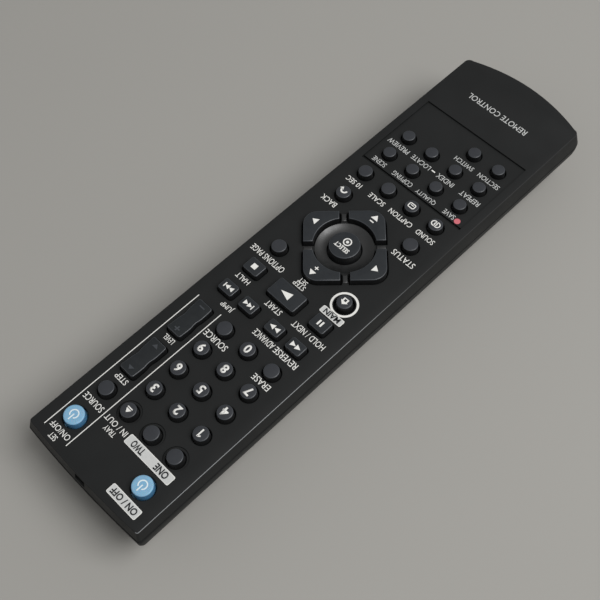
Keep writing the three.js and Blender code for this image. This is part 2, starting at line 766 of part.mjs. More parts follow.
// The board with its chip and capacitor below it and the positive strip into the bay.
function circuitBoard() {
  const plate = boardPlan(boardBottom, boardTop);
  const holes = joined(pinHoles(boardBottom - OVERRUN, boardTop + OVERRUN));
  const inside = boardBottom + BOARD / 2;
  const chipY = row(rowShares.digit4);
  const chipX = column(2);
  const chipBottom = boardBottom - CHIP_HEIGHT;
  const chip = box(
    chipX - CHIP_WIDTH / 2,
    chipX + CHIP_WIDTH / 2,
    chipY - CHIP_LENGTH / 2,
    chipY + CHIP_LENGTH / 2,
    chipBottom,
    inside,
  );
  const capacitorBottom = boardBottom - CAPACITOR_HEIGHT;
  const seek = row(rowShares.seek);
  const can = post(CAPACITOR_RADIUS, column(0), seek, capacitorBottom, inside, KEY_SIDES);
  const strip = contactPlate(-cellPitch / 2, inside);
  const face = bayFront - contactRoom;
  const bump = contactBump(-cellPitch / 2, face, face - CONTACT_BUMP);
  return joined([plate.subtract(holes), chip, can, strip, bump]);
}

// A contact at the bay's front wall, with a strip that climbs to the given height.
function contactPlate(x, top) {
  const front = bayFront - CLEARANCE;
  const back = bayFront - contactRoom;
  const low = cellZ - CONTACT_HEIGHT / 2;
  const high = cellZ + CONTACT_HEIGHT / 2;
  const plate = box(x - CONTACT_WIDTH / 2, x + CONTACT_WIDTH / 2, back, front, low, high);
  return plate.add(box(x - STRIP / 2, x + STRIP / 2, back, front, cellZ, top));
}

// The pressed bump that meets a cell's cap, from inside its plate to its tip.
function contactBump(x, face, tip) {
  const root = face + (face - tip);
  const profile = [
    [0, tip],
    [CONTACT_BUMP_RADIUS / 2, tip],
    [CONTACT_BUMP_RADIUS, face],
    [CONTACT_BUMP_RADIUS, root],
    [0, root],
  ];
  const ordered = tip < root ? profile : profile.reverse();
  return turnedAlongY(ordered, x, cellZ, KEY_SIDES);
}

// A tapering coil along Y, from its plate towards the cell.
class CoilCurve extends THREE.Curve {
  constructor(x, base, tip) {
    super();
    this.x = x;
    this.base = base;
    this.tip = tip;
  }

  getPoint(share, target = new THREE.Vector3()) {
    const angle = 2 * Math.PI * SPRING_TURNS * share;
    const radius = SPRING_RADIUS + (SPRING_TIP_RADIUS - SPRING_RADIUS) * share;
    const across = this.x + radius * Math.cos(angle);
    const up = cellZ + radius * Math.sin(angle);
    return target.set(across, this.base + (this.tip - this.base) * share, up);
  }
}

function coil(x, base, tip) {
  const wire = new THREE.Shape();
  for (let side = 0; side < WIRE_SIDES; side++) {
    const angle = (2 * Math.PI * side) / WIRE_SIDES;
    const across = SPRING_WIRE * Math.cos(angle);
    const up = SPRING_WIRE * Math.sin(angle);
    if (side === 0) wire.moveTo(across, up);
    else wire.lineTo(across, up);
  }
  const turnSteps = 8;
  const settings = {
    steps: turnSteps * SPRING_TURNS,
    extrudePath: new CoilCurve(x, base, tip),
    bevelEnabled: false,
  };
  return solidOf(new THREE.ExtrudeGeometry(wire, settings));
}

// The negative contact of the right-hand cell.
function contactSpring() {
  const face = bayFront - contactRoom;
  const seat = face + SPRING_WIRE / 2;
  const tip = face - SPRING_LENGTH + SPRING_WIRE;
  const strip = contactPlate(cellPitch / 2, boardBottom - CLEARANCE);
  return strip.add(coil(cellPitch / 2, seat, tip));
}

// The plate at the bay's end that joins the two cells: a coil for one and a bump for the other.
function contactBridge() {
  const back = bayBack + CLEARANCE;
  const face = back + CONTACT;
  const half = cellPitch / 2 + CONTACT_WIDTH / 2;
  const low = cellZ - CONTACT_HEIGHT / 2;
  const plate = box(-half, half, back, face, low, cellZ + CONTACT_HEIGHT / 2);
  const seat = face - SPRING_WIRE / 2;
  const tip = face + SPRING_LENGTH - SPRING_WIRE;
  const bump = contactBump(cellPitch / 2, face, face + CONTACT_BUMP);
  return joined([plate, coil(-cellPitch / 2, seat, tip), bump]);
}

// A cell whose cap points along +Y or -Y, with the cap's tip at the given place.
function cell(x, tip, direction) {
  const radius = CELL_DIAMETER / 2;
  const cap = CELL_CAP_DIAMETER / 2;
  const profile = [
    [0, 0],
    [cap, 0],
    [cap, CELL_CAP],
    [radius - CELL_EDGE, CELL_CAP],
    [radius, CELL_CAP + CELL_EDGE],
    [radius, cellLength - CELL_EDGE],
    [radius - CELL_EDGE, cellLength],
    [0, cellLength],
  ];
  const placed = profile.map(([out, back]) => [out, tip - direction * back]);
  const ordered = direction > 0 ? placed.reverse() : placed;
  return turnedAlongY(ordered, x, cellZ, FINE_SIDES);
}

// The infra-red diode lies over the board's front edge and looks out of the window.
function infraRedLed() {
  const flange = LED_RADIUS + LED_COLLAR;
  const shoulder = ledBack + 2 * LED_COLLAR;
  const profile = [
    [0, ledBack],
    [flange, ledBack],
    [flange, shoulder],
    [LED_RADIUS, shoulder],
    [LED_RADIUS, ledFront - LED_RADIUS],
    [LED_RADIUS * Math.SQRT1_2, ledFront - LED_RADIUS * (1 - Math.SQRT1_2)],
    [0, ledFront],
  ];
  const body = turnedAlongY(profile, 0, ledZ, KEY_SIDES);
  const legs = [-1, 1].map((side) => {
    const x = (side * LEG_PITCH) / 2;
    const low = boardTop + CLEARANCE;
    const run = box(x - LEG / 2, x + LEG / 2, legEnd, ledBack + LED_COLLAR, ledZ - LEG, ledZ);
    return run.add(box(x - LEG / 2, x + LEG / 2, legEnd, legEnd + LEG, low, ledZ));
  });
  return joined([body, ...legs]);
}

// Materials, one for each mesh

const caseLook = { color: "#2f3031", roughness: 0.62, metalness: 0 };
const keyLook = { color: "#3b3f44", roughness: 0.75, metalness: 0 };
const powerLook = { color: "#7fa8d0", roughness: 0.6, metalness: 0 };
const matLook = { color: "#54575a", roughness: 0.8, metalness: 0 };
const boardLook = { color: "#8a6a3c", roughness: 0.6, metalness: 0 };
const metalLook = { color: "#c9c9c4", roughness: 0.35, metalness: 1 };
const cellLook = { color: "#9aa2a8", roughness: 0.35, metalness: 0.6 };
const ledLook = { color: "#1a1420", roughness: 0.2, metalness: 0 };

// Adds a named mesh whose own origin is the middle of its solid.
function addPiece(group, name, solid, look) {
  const geometry = geometryOf(solid);
  geometry.computeBoundingBox();
  const middle = geometry.boundingBox.getCenter(new THREE.Vector3());
  geometry.translate(-middle.x, -middle.y, -middle.z);
  const mesh = new THREE.Mesh(geometry, new THREE.MeshStandardMaterial(look));
  mesh.name = name;
  mesh.position.copy(middle);
  group.add(mesh);
}

const remote = new THREE.Group();
const casework = new THREE.Group();
const keypad = new THREE.Group();
const inside = new THREE.Group();
remote.add(casework, keypad, inside);

addPiece(casework, "top_case", topCase(), caseLook);
addPiece(casework, "bottom_case", bottomCase(), caseLook);
addPiece(casework, "battery_door", batteryDoor(), caseLook);
for (const key of keys) {
  const look = key.name.includes("power") ? powerLook : keyLook;
  addPiece(keypad, key.name, keySolid(key), look);
}
addPiece(inside, "key_mat", keyMat(), matLook);
addPiece(inside, "circuit_board", circuitBoard(), boardLook);
addPiece(inside, "infra_red_led", infraRedLed(), ledLook);
const leftTip = bayFront - contactRoom - CONTACT_BUMP - CLEARANCE;
const rightTip = bayBack + contactRoom + CONTACT_BUMP + CLEARANCE;
addPiece(inside, "battery_left", cell(-cellPitch / 2, leftTip, 1), cellLook);
addPiece(inside, "battery_right", cell(cellPitch / 2, rightTip, -1), cellLook);
addPiece(inside, "contact_bridge", contactBridge(), metalLook);
addPiece(inside, "contact_spring", contactSpring(), metalLook);

export default remote;
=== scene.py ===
"""A handheld remote control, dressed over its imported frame. All lengths are in metres."""

import math

import bmesh
import bpy
from bpy.props import FloatProperty, FloatVectorProperty, PointerProperty
from mathutils import Euler, Matrix, Vector


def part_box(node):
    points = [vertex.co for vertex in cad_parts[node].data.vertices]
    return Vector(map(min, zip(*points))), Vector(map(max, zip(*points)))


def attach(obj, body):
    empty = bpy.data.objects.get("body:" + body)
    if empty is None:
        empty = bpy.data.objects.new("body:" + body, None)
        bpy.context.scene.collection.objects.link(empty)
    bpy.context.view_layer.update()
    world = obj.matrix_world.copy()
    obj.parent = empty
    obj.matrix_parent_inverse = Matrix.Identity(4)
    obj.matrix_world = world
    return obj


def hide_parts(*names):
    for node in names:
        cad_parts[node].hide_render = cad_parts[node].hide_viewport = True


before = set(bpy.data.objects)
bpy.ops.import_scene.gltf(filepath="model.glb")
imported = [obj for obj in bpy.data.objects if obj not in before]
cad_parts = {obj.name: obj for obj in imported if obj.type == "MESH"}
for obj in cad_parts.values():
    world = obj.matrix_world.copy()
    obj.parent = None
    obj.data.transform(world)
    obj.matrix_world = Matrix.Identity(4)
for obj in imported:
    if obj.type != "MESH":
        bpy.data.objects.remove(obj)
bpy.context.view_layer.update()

bl_info = {
    "name": "Remote control",
    "version": (1, 0, 0),
    "blender": (4, 5, 0),
    "location": "View3D > Sidebar > Remote",
    "description": "Builds the case, rubber keys and print of a handheld remote control",
    "category": "Object",
}

MM = 0.001
# A cutter reaches this far past what it cuts.
OVER = MM


def linear(text):
    """The linear colour of an sRGB hex value."""
    parts = [int(text[start : start + 2], 16) / 255 for start in (1, 3, 5)]
    return [part / 12.92 if part <= 0.04045 else ((part + 0.055) / 1.055) ** 2.4 for part in parts]


def length(name, words, value):
    """A size, given in millimetres."""
    return FloatProperty(
        name=name, description=words, default=value * MM, unit="LENGTH", precision=5
    )


def fraction(name, words, value):
    """A share of a length, from 0 to 1."""
    return FloatProperty(name=name, description=words, default=value, min=0, max=1, precision=4)


def colour(name, words, text):
    """A colour, given as an sRGB hex value."""
    return FloatVectorProperty(
        name=name, description=words, default=linear(text), subtype="COLOR", size=3, min=0, max=1
    )


class CaseSizes(bpy.types.PropertyGroup):
    """Sizes of the case"""

    face_width: length("Face width", "Width of the key face", 48)
    face_length: length("Face length", "Length of the key face along its middle", 196.9)
    front_crown: length("Front crown", "How far the front edge bows out", 0.8)
    end_crown: length("End crown", "How far the battery end bows out", 4.8)
    flare: length("Flare", "How far the walls stand out below the face", 1.1)
    waist: length("Waist", "Depth at which the walls turn upright", 4.9)
    belly: length("Belly", "Depth at which the walls start to curve in", 4.9)
    belly_side: length("Belly side", "How far the long sides curve in", 16)
    belly_front: length("Belly front", "How far the front curves in", 18)
    belly_end: length("Belly end", "How far the battery end curves in", 10)
    front_corner: length("Front corner", "Radius of the face's front corners", 0.8)
    front_waist: length("Front waist corner", "Radius of the front corners at the waist", 1)
    end_corner: length("End corner", "Radius of the face's corners at the battery end", 2)
    end_waist: length("End waist corner", "Radius of the end's corners at the waist", 3.5)
    least_corner: length("Least corner", "Least radius of a corner inside the case", 0.6)
    belly_growth: length("Belly growth", "How much the corners widen to the underside", 5)
    crease: length("Crease", "Radius of the edge between face and walls", 0.13)
    seam: length("Seam", "Gap between the two halves of the case", 0.3)
    seam_front: length("Seam at the front", "Depth of the seam at the front", 4.2)
    seam_end: length("Seam at the end", "Depth of the seam at the battery end", 5.5)
    seam_groove: length("Seam groove", "Height of the shallow groove round the seam", 0.7)
    seam_sink: length("Seam sink", "Depth of that groove", 0.2)
    deck: length("Deck", "Thickness of the face", 2)
    wall: length("Wall", "Thickness of the case's walls", 2)
    lip_wall: length("Lip setback", "How far the seam's inner lip stands back", 1.15)
    lip_height: length("Lip height", "How far the lip rises past the seam", 1.4)
    panel_width: length("Panel width", "Width of the recessed panel", 42.2)
    panel_front: fraction("Panel front", "Where on the face's length the panel starts", 0.6929)
    panel_end: fraction("Panel end", "Where on the face's length the panel ends", 0.8569)
    panel_depth: length("Panel depth", "Depth of the recessed panel", 0.6)
    panel_ramp: length("Panel ramp", "Length of the slope down into the panel", 1.8)
    panel_bow: length("Panel bow", "How far the panel's far edge bows out", 0.5)
    groove: length("Panel groove", "Width of the groove at the foot of that slope", 0.5)
    groove_depth: length("Groove depth", "Depth of that groove below the panel", 0.7)
    window_width: length("Window width", "Width of the infra-red window", 4.2)
    window_height: length("Window height", "Height of the infra-red window", 2.7)
    window_drop: length("Window drop", "Depth of the window's top edge", 0.5)


class DoorSizes(bpy.types.PropertyGroup):
    """Sizes of the battery door and its bay"""

    margin: length("Margin", "Gap between the battery door and its room", 0.3)
    door: length("Door", "Thickness of the battery door", 2)
    rail: length("Rail", "How far the door's rails stand out", 1.2)
    rail_lip: length("Rail lip", "Thickness of the case below each rail", 1)
    bay_wall: length("Bay wall", "Thickness of the battery bay's walls", 1)
    bay_gap: length("Bay gap", "Gap between the cells and the bay's walls", 0.3)
    strip_slot: length("Strip slot", "Width of the slots for the contact strips", 3.6)
    grip_start: length("Grip start", "Distance from the door's edge to its first grip slot", 4)
    grip_pitch: length("Grip pitch", "Distance between the grip slots", 1.8)
    grip_slot: length("Grip slot", "Length of one grip slot", 0.8)
    grip_width: length("Grip width", "Width of the grip slots", 12)
    grip_depth: length("Grip depth", "Depth of the grip slots", 0.5)


class KeySizes(bpy.types.PropertyGroup):
    """Sizes of the keys and their holes"""

    gap: length("Gap", "Gap between a key and its hole", 0.35)
    home_room: length("Home room", "Extra gap round the home key", 0.3)
    rim: length("Rim", "Bevel round the edge of each hole", 0.18)
    flange: length("Flange", "Reach of the hidden flange that keeps a key in", 0.8)
    flange_height: length("Flange height", "Thickness of the hidden flange", 0.8)
    flange_gap: length("Flange gap", "Gap between the flange and the deck above it", 0.3)
    rocker_room: length("Rocker room", "Extra gap above a rocker's flange", 0.51)
    stem: length("Stem", "Radius of the post below a key", 1.6)
    draft: length("Draft", "How much a key narrows to its top", 0.15)
    edge: length("Edge", "Radius of the edge on top of a round key", 0.38)
    bar_edge: length("Bar edge", "Radius of the edge on top of a bar or a pad", 0.32)
    power_edge: length("Power edge", "Radius of the edge on top of a blue key", 0.5)
    dome: length("Dome", "How far the top of a round key rises", 0.08)
    corner: length("Corner", "Corner radius of the bar keys", 0.8)
    collar: length("Collar", "Width of the shallow ring round the three mode keys", 0.9)
    collar_depth: length("Collar depth", "Depth of that ring", 0.35)
    waist: length("Rocker waist", "How far a rocker is pinched at its middle", 0.35)
    waist_length: length("Rocker waist length", "How far the pinch spreads", 1.6)
    dip: length("Rocker dip", "How far a rocker's top sinks between its ends", 0.6)
    pad_reach: length("Pad reach", "Distance from the pad's middle to its sides", 13)
    pad_corner: length("Pad corner", "Radius of the pad's outer corners", 4.6)
    pad_inner: length("Pad inner", "Radius of the pad's round opening", 9.95)
    pad_split: length("Pad split", "Width of the gaps between the corner pads", 2.9)
    pad_rib: length("Pad rib", "Height of the polished rib in each of those gaps", 0.4)
    dish: length("Dish", "Radius of the sunken ring round the middle key", 9.3)
    dish_depth: length("Dish depth", "Depth of the sunken ring", 1)


class CellSizes(bpy.types.PropertyGroup):
    """Sizes of the two cells"""

    cap: length("Cap", "Radius of a cell's raised cap", 1.9)
    rise: length("Cap rise", "Height of the cap", 1)
    edge: length("Cell edge", "Bevel round the cap and both ends of a cell", 0.3)


class PrintSizes(bpy.types.PropertyGroup):
    """Sizes of the print"""

    ink: length("Ink", "Thickness of the print", 0.04)
    emboss: length("Emboss", "Height of the raised signs on the rockers", 0.12)
    line: length("Line", "Width of the long white lines", 0.27)


class Finishes(bpy.types.PropertyGroup):
    """Colours of the materials"""

    case: colour("Case", "Near-black moulded plastic", "#1d1e1e")
    # Painted highlight: the pale crease colour stands in for the lamp's glint along the crease.
    rubbed: colour("Rubbed edge", "The crease where handling has polished it", "#7c7e80")
    key: colour("Keys", "Dark silicone rubber", "#333539")
    large_key: colour("Large keys", "Silicone rubber of the pads and bars", "#272a2d")
    rocker: colour("Rockers", "Silicone rubber of the two rockers", "#202325")
    # Painted highlight: the key edges are a lighter tone than the tops, standing in for the glint
    # on the rounded edge.
    key_edge: colour("Key edges", "Edges of the dark keys, polished by fingers", "#3c3f43")
    # Painted shade: a near-black copy of the key rubber for the keys' sides, standing in for the
    # shade down them.
    skirt: colour("Skirts", "Sides of the dark keys, which nothing rubs or dusts", "#0b0c0d")
    power: colour("Power keys", "Light blue silicone rubber", "#84b2d0")
    # Painted shade: a darker copy of the blue rubber for the blue keys' sides.
    power_skirt: colour("Power skirts", "Sides of the blue keys", "#4a7ba1")
    power_ink: colour("Power ink", "Pale sign on the blue keys", "#e6f2f6")
    ink: colour("Ink", "White print", "#f0efea")
    box_ink: colour("Box ink", "Pale grey print of the filled boxes", "#cdcecc")
    grey_ink: colour("Grey ink", "Thinner print on the panel", "#cacbc9")
    dark_ink: colour("Dark ink", "Lettering in the pale boxes", "#202224")
    red_ink: colour("Red ink", "The dot beside the record key", "#d8707a")
    board: colour("Board", "Brown paper laminate", "#8a6236")
    mat: colour("Mat", "Grey silicone sheet", "#54575a")
    jacket: colour("Jacket", "Printed jacket of the cells", "#3d5a70")
    steel: colour("Contacts", "Nickel-plated spring steel", "#c6c4bc")
    diode: colour("Diode", "Violet epoxy of the infra-red diode", "#20162a")
    floor: colour("Floor", "Plain pale floor", "#a09e99")


def case_sizes():
    return bpy.context.scene.remote_case


def door_sizes():
    return bpy.context.scene.remote_door


def key_sizes():
    return bpy.context.scene.remote_keys


def print_sizes():
    return bpy.context.scene.remote_print


def finishes():
    return bpy.context.scene.remote_finishes


def deck_bottom():
    return face_z - case_sizes().deck


# The height of the key face, from the frame
face_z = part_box("top_case")[1].z


# Materials

# Most of a noise's values lie between these.
NOISE_LOW, NOISE_HIGH = 0.35, 0.65


def node(material, kind, inputs=None, **settings):
    """Adds a shader node, sets it up, and links each input that is given another node's socket."""
    made = material.node_tree.nodes.new("ShaderNode" + kind)
    for name, value in settings.items():
        setattr(made, name, value)
    for name, value in (inputs or {}).items():
        if isinstance(value, bpy.types.NodeSocket):
            material.node_tree.links.new(value, made.inputs[name])
        else:
            made.inputs[name].default_value = value
    return made


def blank(name):
    """A new material with a bare output, and its Object coordinates."""
    material = bpy.data.materials.new(name)
    material.use_nodes = True
    material.node_tree.nodes.clear()
    return material, node(material, "TexCoord").outputs["Object"]


def finished(material, **inputs):
    """Ends a material in one surface shader with the given inputs."""
    named = {name.replace("_", " "): value for name, value in inputs.items()}
    shader = node(material, "BsdfPrincipled", named)
    node(material, "OutputMaterial", {"Surface": shader.outputs["BSDF"]})
    return material


def shade(tone, factor):
    """A tone made darker or lighter, with the alpha that a colour socket needs."""
    return (*[min(part * factor, 1) for part in tone], 1)


def varied(material, where, tone, low, high, size):
    """The tone drifting between two strengths over patches of a size in millimetres."""
    inputs = {"Vector": where, "Scale": 1 / (size * MM), "Detail": 3.0}
    patches = node(material, "TexNoise", inputs)
    inputs = {"Factor": patches.outputs["Fac"], "A": shade(tone, low), "B": shade(tone, high)}
    return node(material, "Mix", inputs, data_type="RGBA").outputs["Result"]


def ranged(material, where, low, high, size):
    """A number drifting between two values over patches of a size in millimetres."""
    inputs = {"Vector": where, "Scale": 1 / (size * MM), "Detail": 4.0}
    patches = node(material, "TexNoise", inputs)
    inputs = {"Value": patches.outputs["Fac"], "From Min": NOISE_LOW, "From Max": NOISE_HIGH}
    return node(material, "MapRange", {**inputs, "To Min": low, "To Max": high}).outputs["Result"]


def grained(material, where, width, height, strength):
    """A bump of fine grain, whose width and height are in millimetres."""
    inputs = {"Vector": where, "Scale": 1 / (width * MM), "Detail": 2.0, "Roughness": 0.6}
    pits = node(material, "TexNoise", inputs)
    inputs = {"Height": pits.outputs["Fac"], "Distance": height * MM, "Strength": strength}
    return node(material, "Bump", inputs).outputs["Normal"]


def surface(name, tone, drift, rough, grain, **inputs):
    """A material that drifts in colour and roughness, with a fine grain.

    drift and rough are a low value, a high value and a size in millimetres. grain is a width and a
    height in millimetres, and a strength.
    """
    material, where = blank(name)
    return finished(
        material,
        Base_Color=varied(material, where, tone, *drift),
        Roughness=ranged(material, where, *rough),
        Normal=grained(material, where, *grain),
        **inputs,
    )


def moulded_abs(name):
    """ABS from a spark-eroded mould: even charcoal that breaks highlights into a soft veil."""
    # The real grain is about 0.1 mm and is drawn at 0.35 mm, so that it shows. Its pits shade each
    # other, so the veil is weaker than on a smooth face.
    drift, rough, grain = (0.88, 1.12, 18), (0.5, 0.6, 9), (0.35, 0.012, 0.5)
    return surface(name, finishes().case, drift, rough, grain, Specular_IOR_Level=0.24)


def polished_abs():
    """ABS from a polished part of the mould, which mirrors the lamps in a smooth band. It is
    darker, partly from the polish and partly as painted shade in the sunken ring.
    """
    drift, rough, grain = (0.5, 0.65, 6), (0.38, 0.48, 3), (0.6, 0.004, 0.3)
    inputs = {"IOR": 1.5, "Specular_IOR_Level": 0.95}
    return surface("abs_polished_dish", finishes().case, drift, rough, grain, **inputs)


def rubbed_abs():
    """ABS with a painted highlight on its crease: a thin pale line, brightest along the front of
    the left edge.
    """
    material, where = blank("abs_painted_crease_highlight")
    place = node(material, "SeparateXYZ", {"Vector": where}).outputs
    # The mask keeps the painted highlight to the front of the left side's crease.
    inputs = {"Value": place["Y"], "From Min": -25 * MM, "From Max": 20 * MM}
    along = node(material, "MapRange", inputs, interpolation_type="SMOOTHSTEP").outputs["Result"]
    inputs = {"Value": place["X"], "From Min": -20 * MM, "From Max": -23 * MM}
    across = node(material, "MapRange", inputs).outputs["Result"]
    wear_and_painted_highlight = node(material, "Math", {0: along, 1: across}, operation="MULTIPLY").outputs["Value"]
    # Painted highlight where the mask is high. Elsewhere the crease is painted a little darker than
    # the case, as painted shade.
    inputs = {"Factor": wear_and_painted_highlight, "A": shade(finishes().case, 0.85), "B": shade(finishes().rubbed, 1)}
    mixed = node(material, "Mix", inputs, data_type="RGBA")
    gloss = node(material, "MapRange", {"Value": wear_and_painted_highlight, "To Min": 0.62, "To Max": 0.34})
    return finished(
        material,
        Base_Color=mixed.outputs["Result"],
        Roughness=gloss.outputs["Result"],
        IOR=1.5,
        Normal=grained(material, where, 0.5, 0.005, 0.3),
    )


def dark_silicone(name, tone, rough=(0.45, 0.6), shine=0.3):
    """Moulded silicone rubber: a bluish near-black that stays dull, with a faint bloom of dust."""
    # Fine mould grain of about 0.1 mm, drawn at 0.3 mm so that it shows.
    drift, grain = (0.85, 1.15, 2.5), (0.3, 0.01, 0.5)
    inputs = {"Specular_IOR_Level": shine, "Sheen_Weight": 0.05, "Sheen_Roughness": 0.4}
    return surface(name, tone, drift, (*rough, 1.5), grain, **inputs)


def blue_silicone(name, tone):
    """Translucent light blue silicone: light sinks in a little, which softens its grain."""
    drift, rough, grain = (0.9, 1.06, 1.6), (0.36, 0.46, 1.2), (0.35, 0.008, 0.4)
    inputs = {"IOR": 1.43, "Subsurface_Weight": 0.12, "Subsurface_Scale": 0.6 * MM}
    return surface(name, tone, drift, rough, grain, **inputs)


def grey_silicone():
    """Unprinted silicone sheet: mid grey and dull."""
    drift, rough, grain = (0.9, 1.1, 4), (0.55, 0.7, 3), (0.4, 0.01, 0.4)
    return surface("silicone_rubber_sheet", finishes().mat, drift, rough, grain, IOR=1.43)


def screen_ink(name, tone):
    """Screen-printed ink: flat and slightly chalky, with pinholes too small to count."""
    drift, rough, grain = (0.86, 1.02, 0.5), (0.5, 0.65, 0.8), (0.25, 0.006, 0.4)
    return surface("screen_ink_" + name, tone, drift, rough, grain, IOR=1.5)


def laminate():
    """Phenolic paper laminate under lacquer: brown, with faint fibres along its length."""
    material, where = blank("phenolic_paper_laminate")
    fibres = node(material, "Mapping", {"Vector": where, "Scale": (1.0, 0.12, 1.0)})
    fibres = fibres.outputs["Vector"]
    return finished(
        material,
        Base_Color=varied(material, fibres, finishes().board, 0.8, 1.15, 0.8),
        Roughness=ranged(material, where, 0.38, 0.52, 5),
        IOR=1.54,
        Normal=grained(material, fibres, 0.4, 0.01, 0.4),
    )


def plated_steel():
    """Nickel-plated spring steel: bright, with fine drawing marks and dull spots."""
    material, where = blank("nickel_plated_spring_steel")
    drawn = node(material, "Mapping", {"Vector": where, "Scale": (0.15, 1.0, 1.0)})
    drawn = drawn.outputs["Vector"]
    return finished(
        material,
        Base_Color=varied(material, where, finishes().steel, 0.88, 1.0, 2),
        Metallic=1.0,
        Roughness=ranged(material, drawn, 0.2, 0.38, 0.4),
        Normal=grained(material, drawn, 0.2, 0.004, 0.3),
    )


def cell_jacket():
    """Printed metal jacket of a cell: a satin slate blue, with soft metallic highlights."""
    drift, rough, grain = (0.92, 1.08, 3), (0.26, 0.36, 2), (0.5, 0.003, 0.3)
    tone = finishes().jacket
    return surface("lacquered_cell_jacket", tone, drift, rough, grain, Metallic=0.55)


def diode_resin():
    """Clear cast epoxy with a violet cast, nearly black where it is thick."""
    material, where = blank("cast_epoxy_violet")
    return finished(
        material,
        Base_Color=varied(material, where, finishes().diode, 0.9, 1.2, 1),
        Roughness=ranged(material, where, 0.1, 0.16, 1),
        IOR=1.56,
        Coat_Weight=0.4,
        Coat_Roughness=0.08,
    )


def matt_paint():
    """Matt wall paint on the floor: plain and pale, so that the shadow shows."""
    drift, rough, grain = (0.985, 1.015, 120), (0.75, 0.85, 60), (3, 0.02, 0.2)
    return surface("matt_emulsion_pale", finishes().floor, drift, rough, grain)


# Shapes

# How many sides the turned shapes have
POST_SIDES, KEY_SIDES, HOLE_SIDES, DISH_SIDES = 24, 48, 64, 96


def piece(name, shape, body=None, *materials):
    """Makes an object of a bmesh, and lets it ride on a body if one is named."""
    mesh = bpy.data.meshes.new(name)
    shape.to_mesh(mesh)
    shape.free()
    made = bpy.data.objects.new(name, mesh)
    bpy.context.scene.collection.objects.link(made)
    for material in materials:
        mesh.materials.append(material)
    if body:
        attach(made, body)
    return made


def smoothed(made, angle=25):
    """Shades the faces smooth, apart from the level ones, which stay flat round their holes."""
    level = 0.9999
    polygons = made.data.polygons
    polygons.foreach_set("use_smooth", [abs(face.normal.z) < level for face in polygons])
    made.data.set_sharp_from_angle(angle=math.radians(angle))
    return made


def fitted(made, body, name):
    """Finishes a part of the case, which takes the place of its CAD node."""
    smoothed(made)
    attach(made, body)
    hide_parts(name)


def carved(made, tool, operation="DIFFERENCE"):
    """Applies a Boolean with a bmesh or an object, which is used up."""
    if isinstance(tool, bmesh.types.BMesh):
        tool = piece("tool", tool)
    step = made.modifiers.new("carve", "BOOLEAN")
    step.operation = operation
    step.solver = "EXACT"
    step.object = tool
    graph = bpy.context.evaluated_depsgraph_get()
    mesh = bpy.data.meshes.new_from_object(made.evaluated_get(graph))
    made.modifiers.clear()
    made.data = mesh
    bpy.data.objects.remove(tool)
    return made


def union(*shapes):
    """One object of several overlapping bmeshes."""
    made = piece("union", shapes[0])
    for shape in shapes[1:]:
        carved(made, shape, "UNION")
    return made


def merged(*shapes):
    """Joins several bmeshes into the first, as separate shells."""
    for other in shapes[1:]:
        mesh = bpy.data.meshes.new("part")
        other.to_mesh(mesh)
        other.free()
        shapes[0].from_mesh(mesh)
        bpy.data.meshes.remove(mesh)
    return shapes[0]


def whole(shape):
    """Every vertex, edge and face of a bmesh."""
    return [*shape.verts, *shape.edges, *shape.faces]


def lofted(rings):
    """A closed shell through rings of points, which all have the same number of points."""
    shape = bmesh.new()
    loops = []
    for ring in rings:
        verts = bmesh.ops.create_circle(shape, segments=len(ring), radius=1)["verts"]
        for vert, point in zip(verts, ring):
            vert.co = point
        loops.append(list(dict.fromkeys(edge for vert in verts for edge in vert.link_edges)))
    for low, high in zip(loops, loops[1:]):
        bmesh.ops.bridge_loops(shape, edges=low + high)
    for loop in (loops[0], loops[-1]):
        bmesh.ops.edgeloop_fill(shape, edges=loop)
    bmesh.ops.recalc_face_normals(shape, faces=shape.faces)
    return shape


def spun(profile, centre, steps=KEY_SIDES):
    """A closed turned shape from points (radius, height), about an upright line through centre."""
    shape = bmesh.new()
    x, y = centre
    verts = [shape.verts.new((x + radius, y, height)) for radius, height in profile]
    geom = verts + [shape.edges.new(pair) for pair in zip(verts, verts[1:])]
    bmesh.ops.spin(
        shape,
        geom=geom,
        cent=(x, y, 0),
        axis=(0, 0, 1),
        angle=math.tau,
        steps=steps,
        use_merge=True,
    )
    bmesh.ops.remove_doubles(shape, verts=shape.verts, dist=MM / 1000)
    bmesh.ops.recalc_face_normals(shape, faces=shape.faces)
    return shape


def bevelled(shape, geom, offset, affect, segments):
    """Rounds some edges or corners of a bmesh."""
    bmesh.ops.bevel(
        shape,
        geom=geom,
        offset=offset,
        offset_type="OFFSET",
        affect=affect,
        segments=segments,
        profile=0.5,
        material=-1,
    )
    return shape


def quarter(centre, radius, start, end, steps):
    """Points of part of a circle, from one angle in degrees to another."""
    turns = [math.radians(start + (end - start) * step / steps) for step in range(steps + 1)]
    x, y = centre
    return [(x + radius * math.cos(turn), y + radius * math.sin(turn)) for turn in turns]


def block(low, high):
    """A rectangular block between two corners."""
    low, high = Vector(low), Vector(high)
    shape = bmesh.new()
    size = Matrix.Diagonal((*(high - low), 1))
    bmesh.ops.create_cube(shape, size=1, matrix=Matrix.Translation((low + high) / 2) @ size)
    return shape


def middle(name):
    """The plan position of a CAD node's middle."""
    low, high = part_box(name)
    return ((low.x + high.x) / 2, (low.y + high.y) / 2)


# Case

CELLS = ("battery_left", "battery_right")
CORNER_STEPS, CROWN_STEPS = 8, 14


def end_points(half, tip, way, bulge, corner):
    """Points of one end of the case's outline, from +X to -X, crowned between two corners."""
    inner = half - corner
    centre = tip - way * (bulge * (inner / half) ** 2 + corner)
    right = quarter((inner, centre), corner, 0, 90 * way, CORNER_STEPS)
    left = quarter((-inner, centre), corner, 90 * way, 180 * way, CORNER_STEPS)
    places = [inner * (1 - 2 * step / CROWN_STEPS) for step in range(1, CROWN_STEPS)]
    return [*right, *[(x, tip - way * bulge * (x / half) ** 2) for x in places], *left]


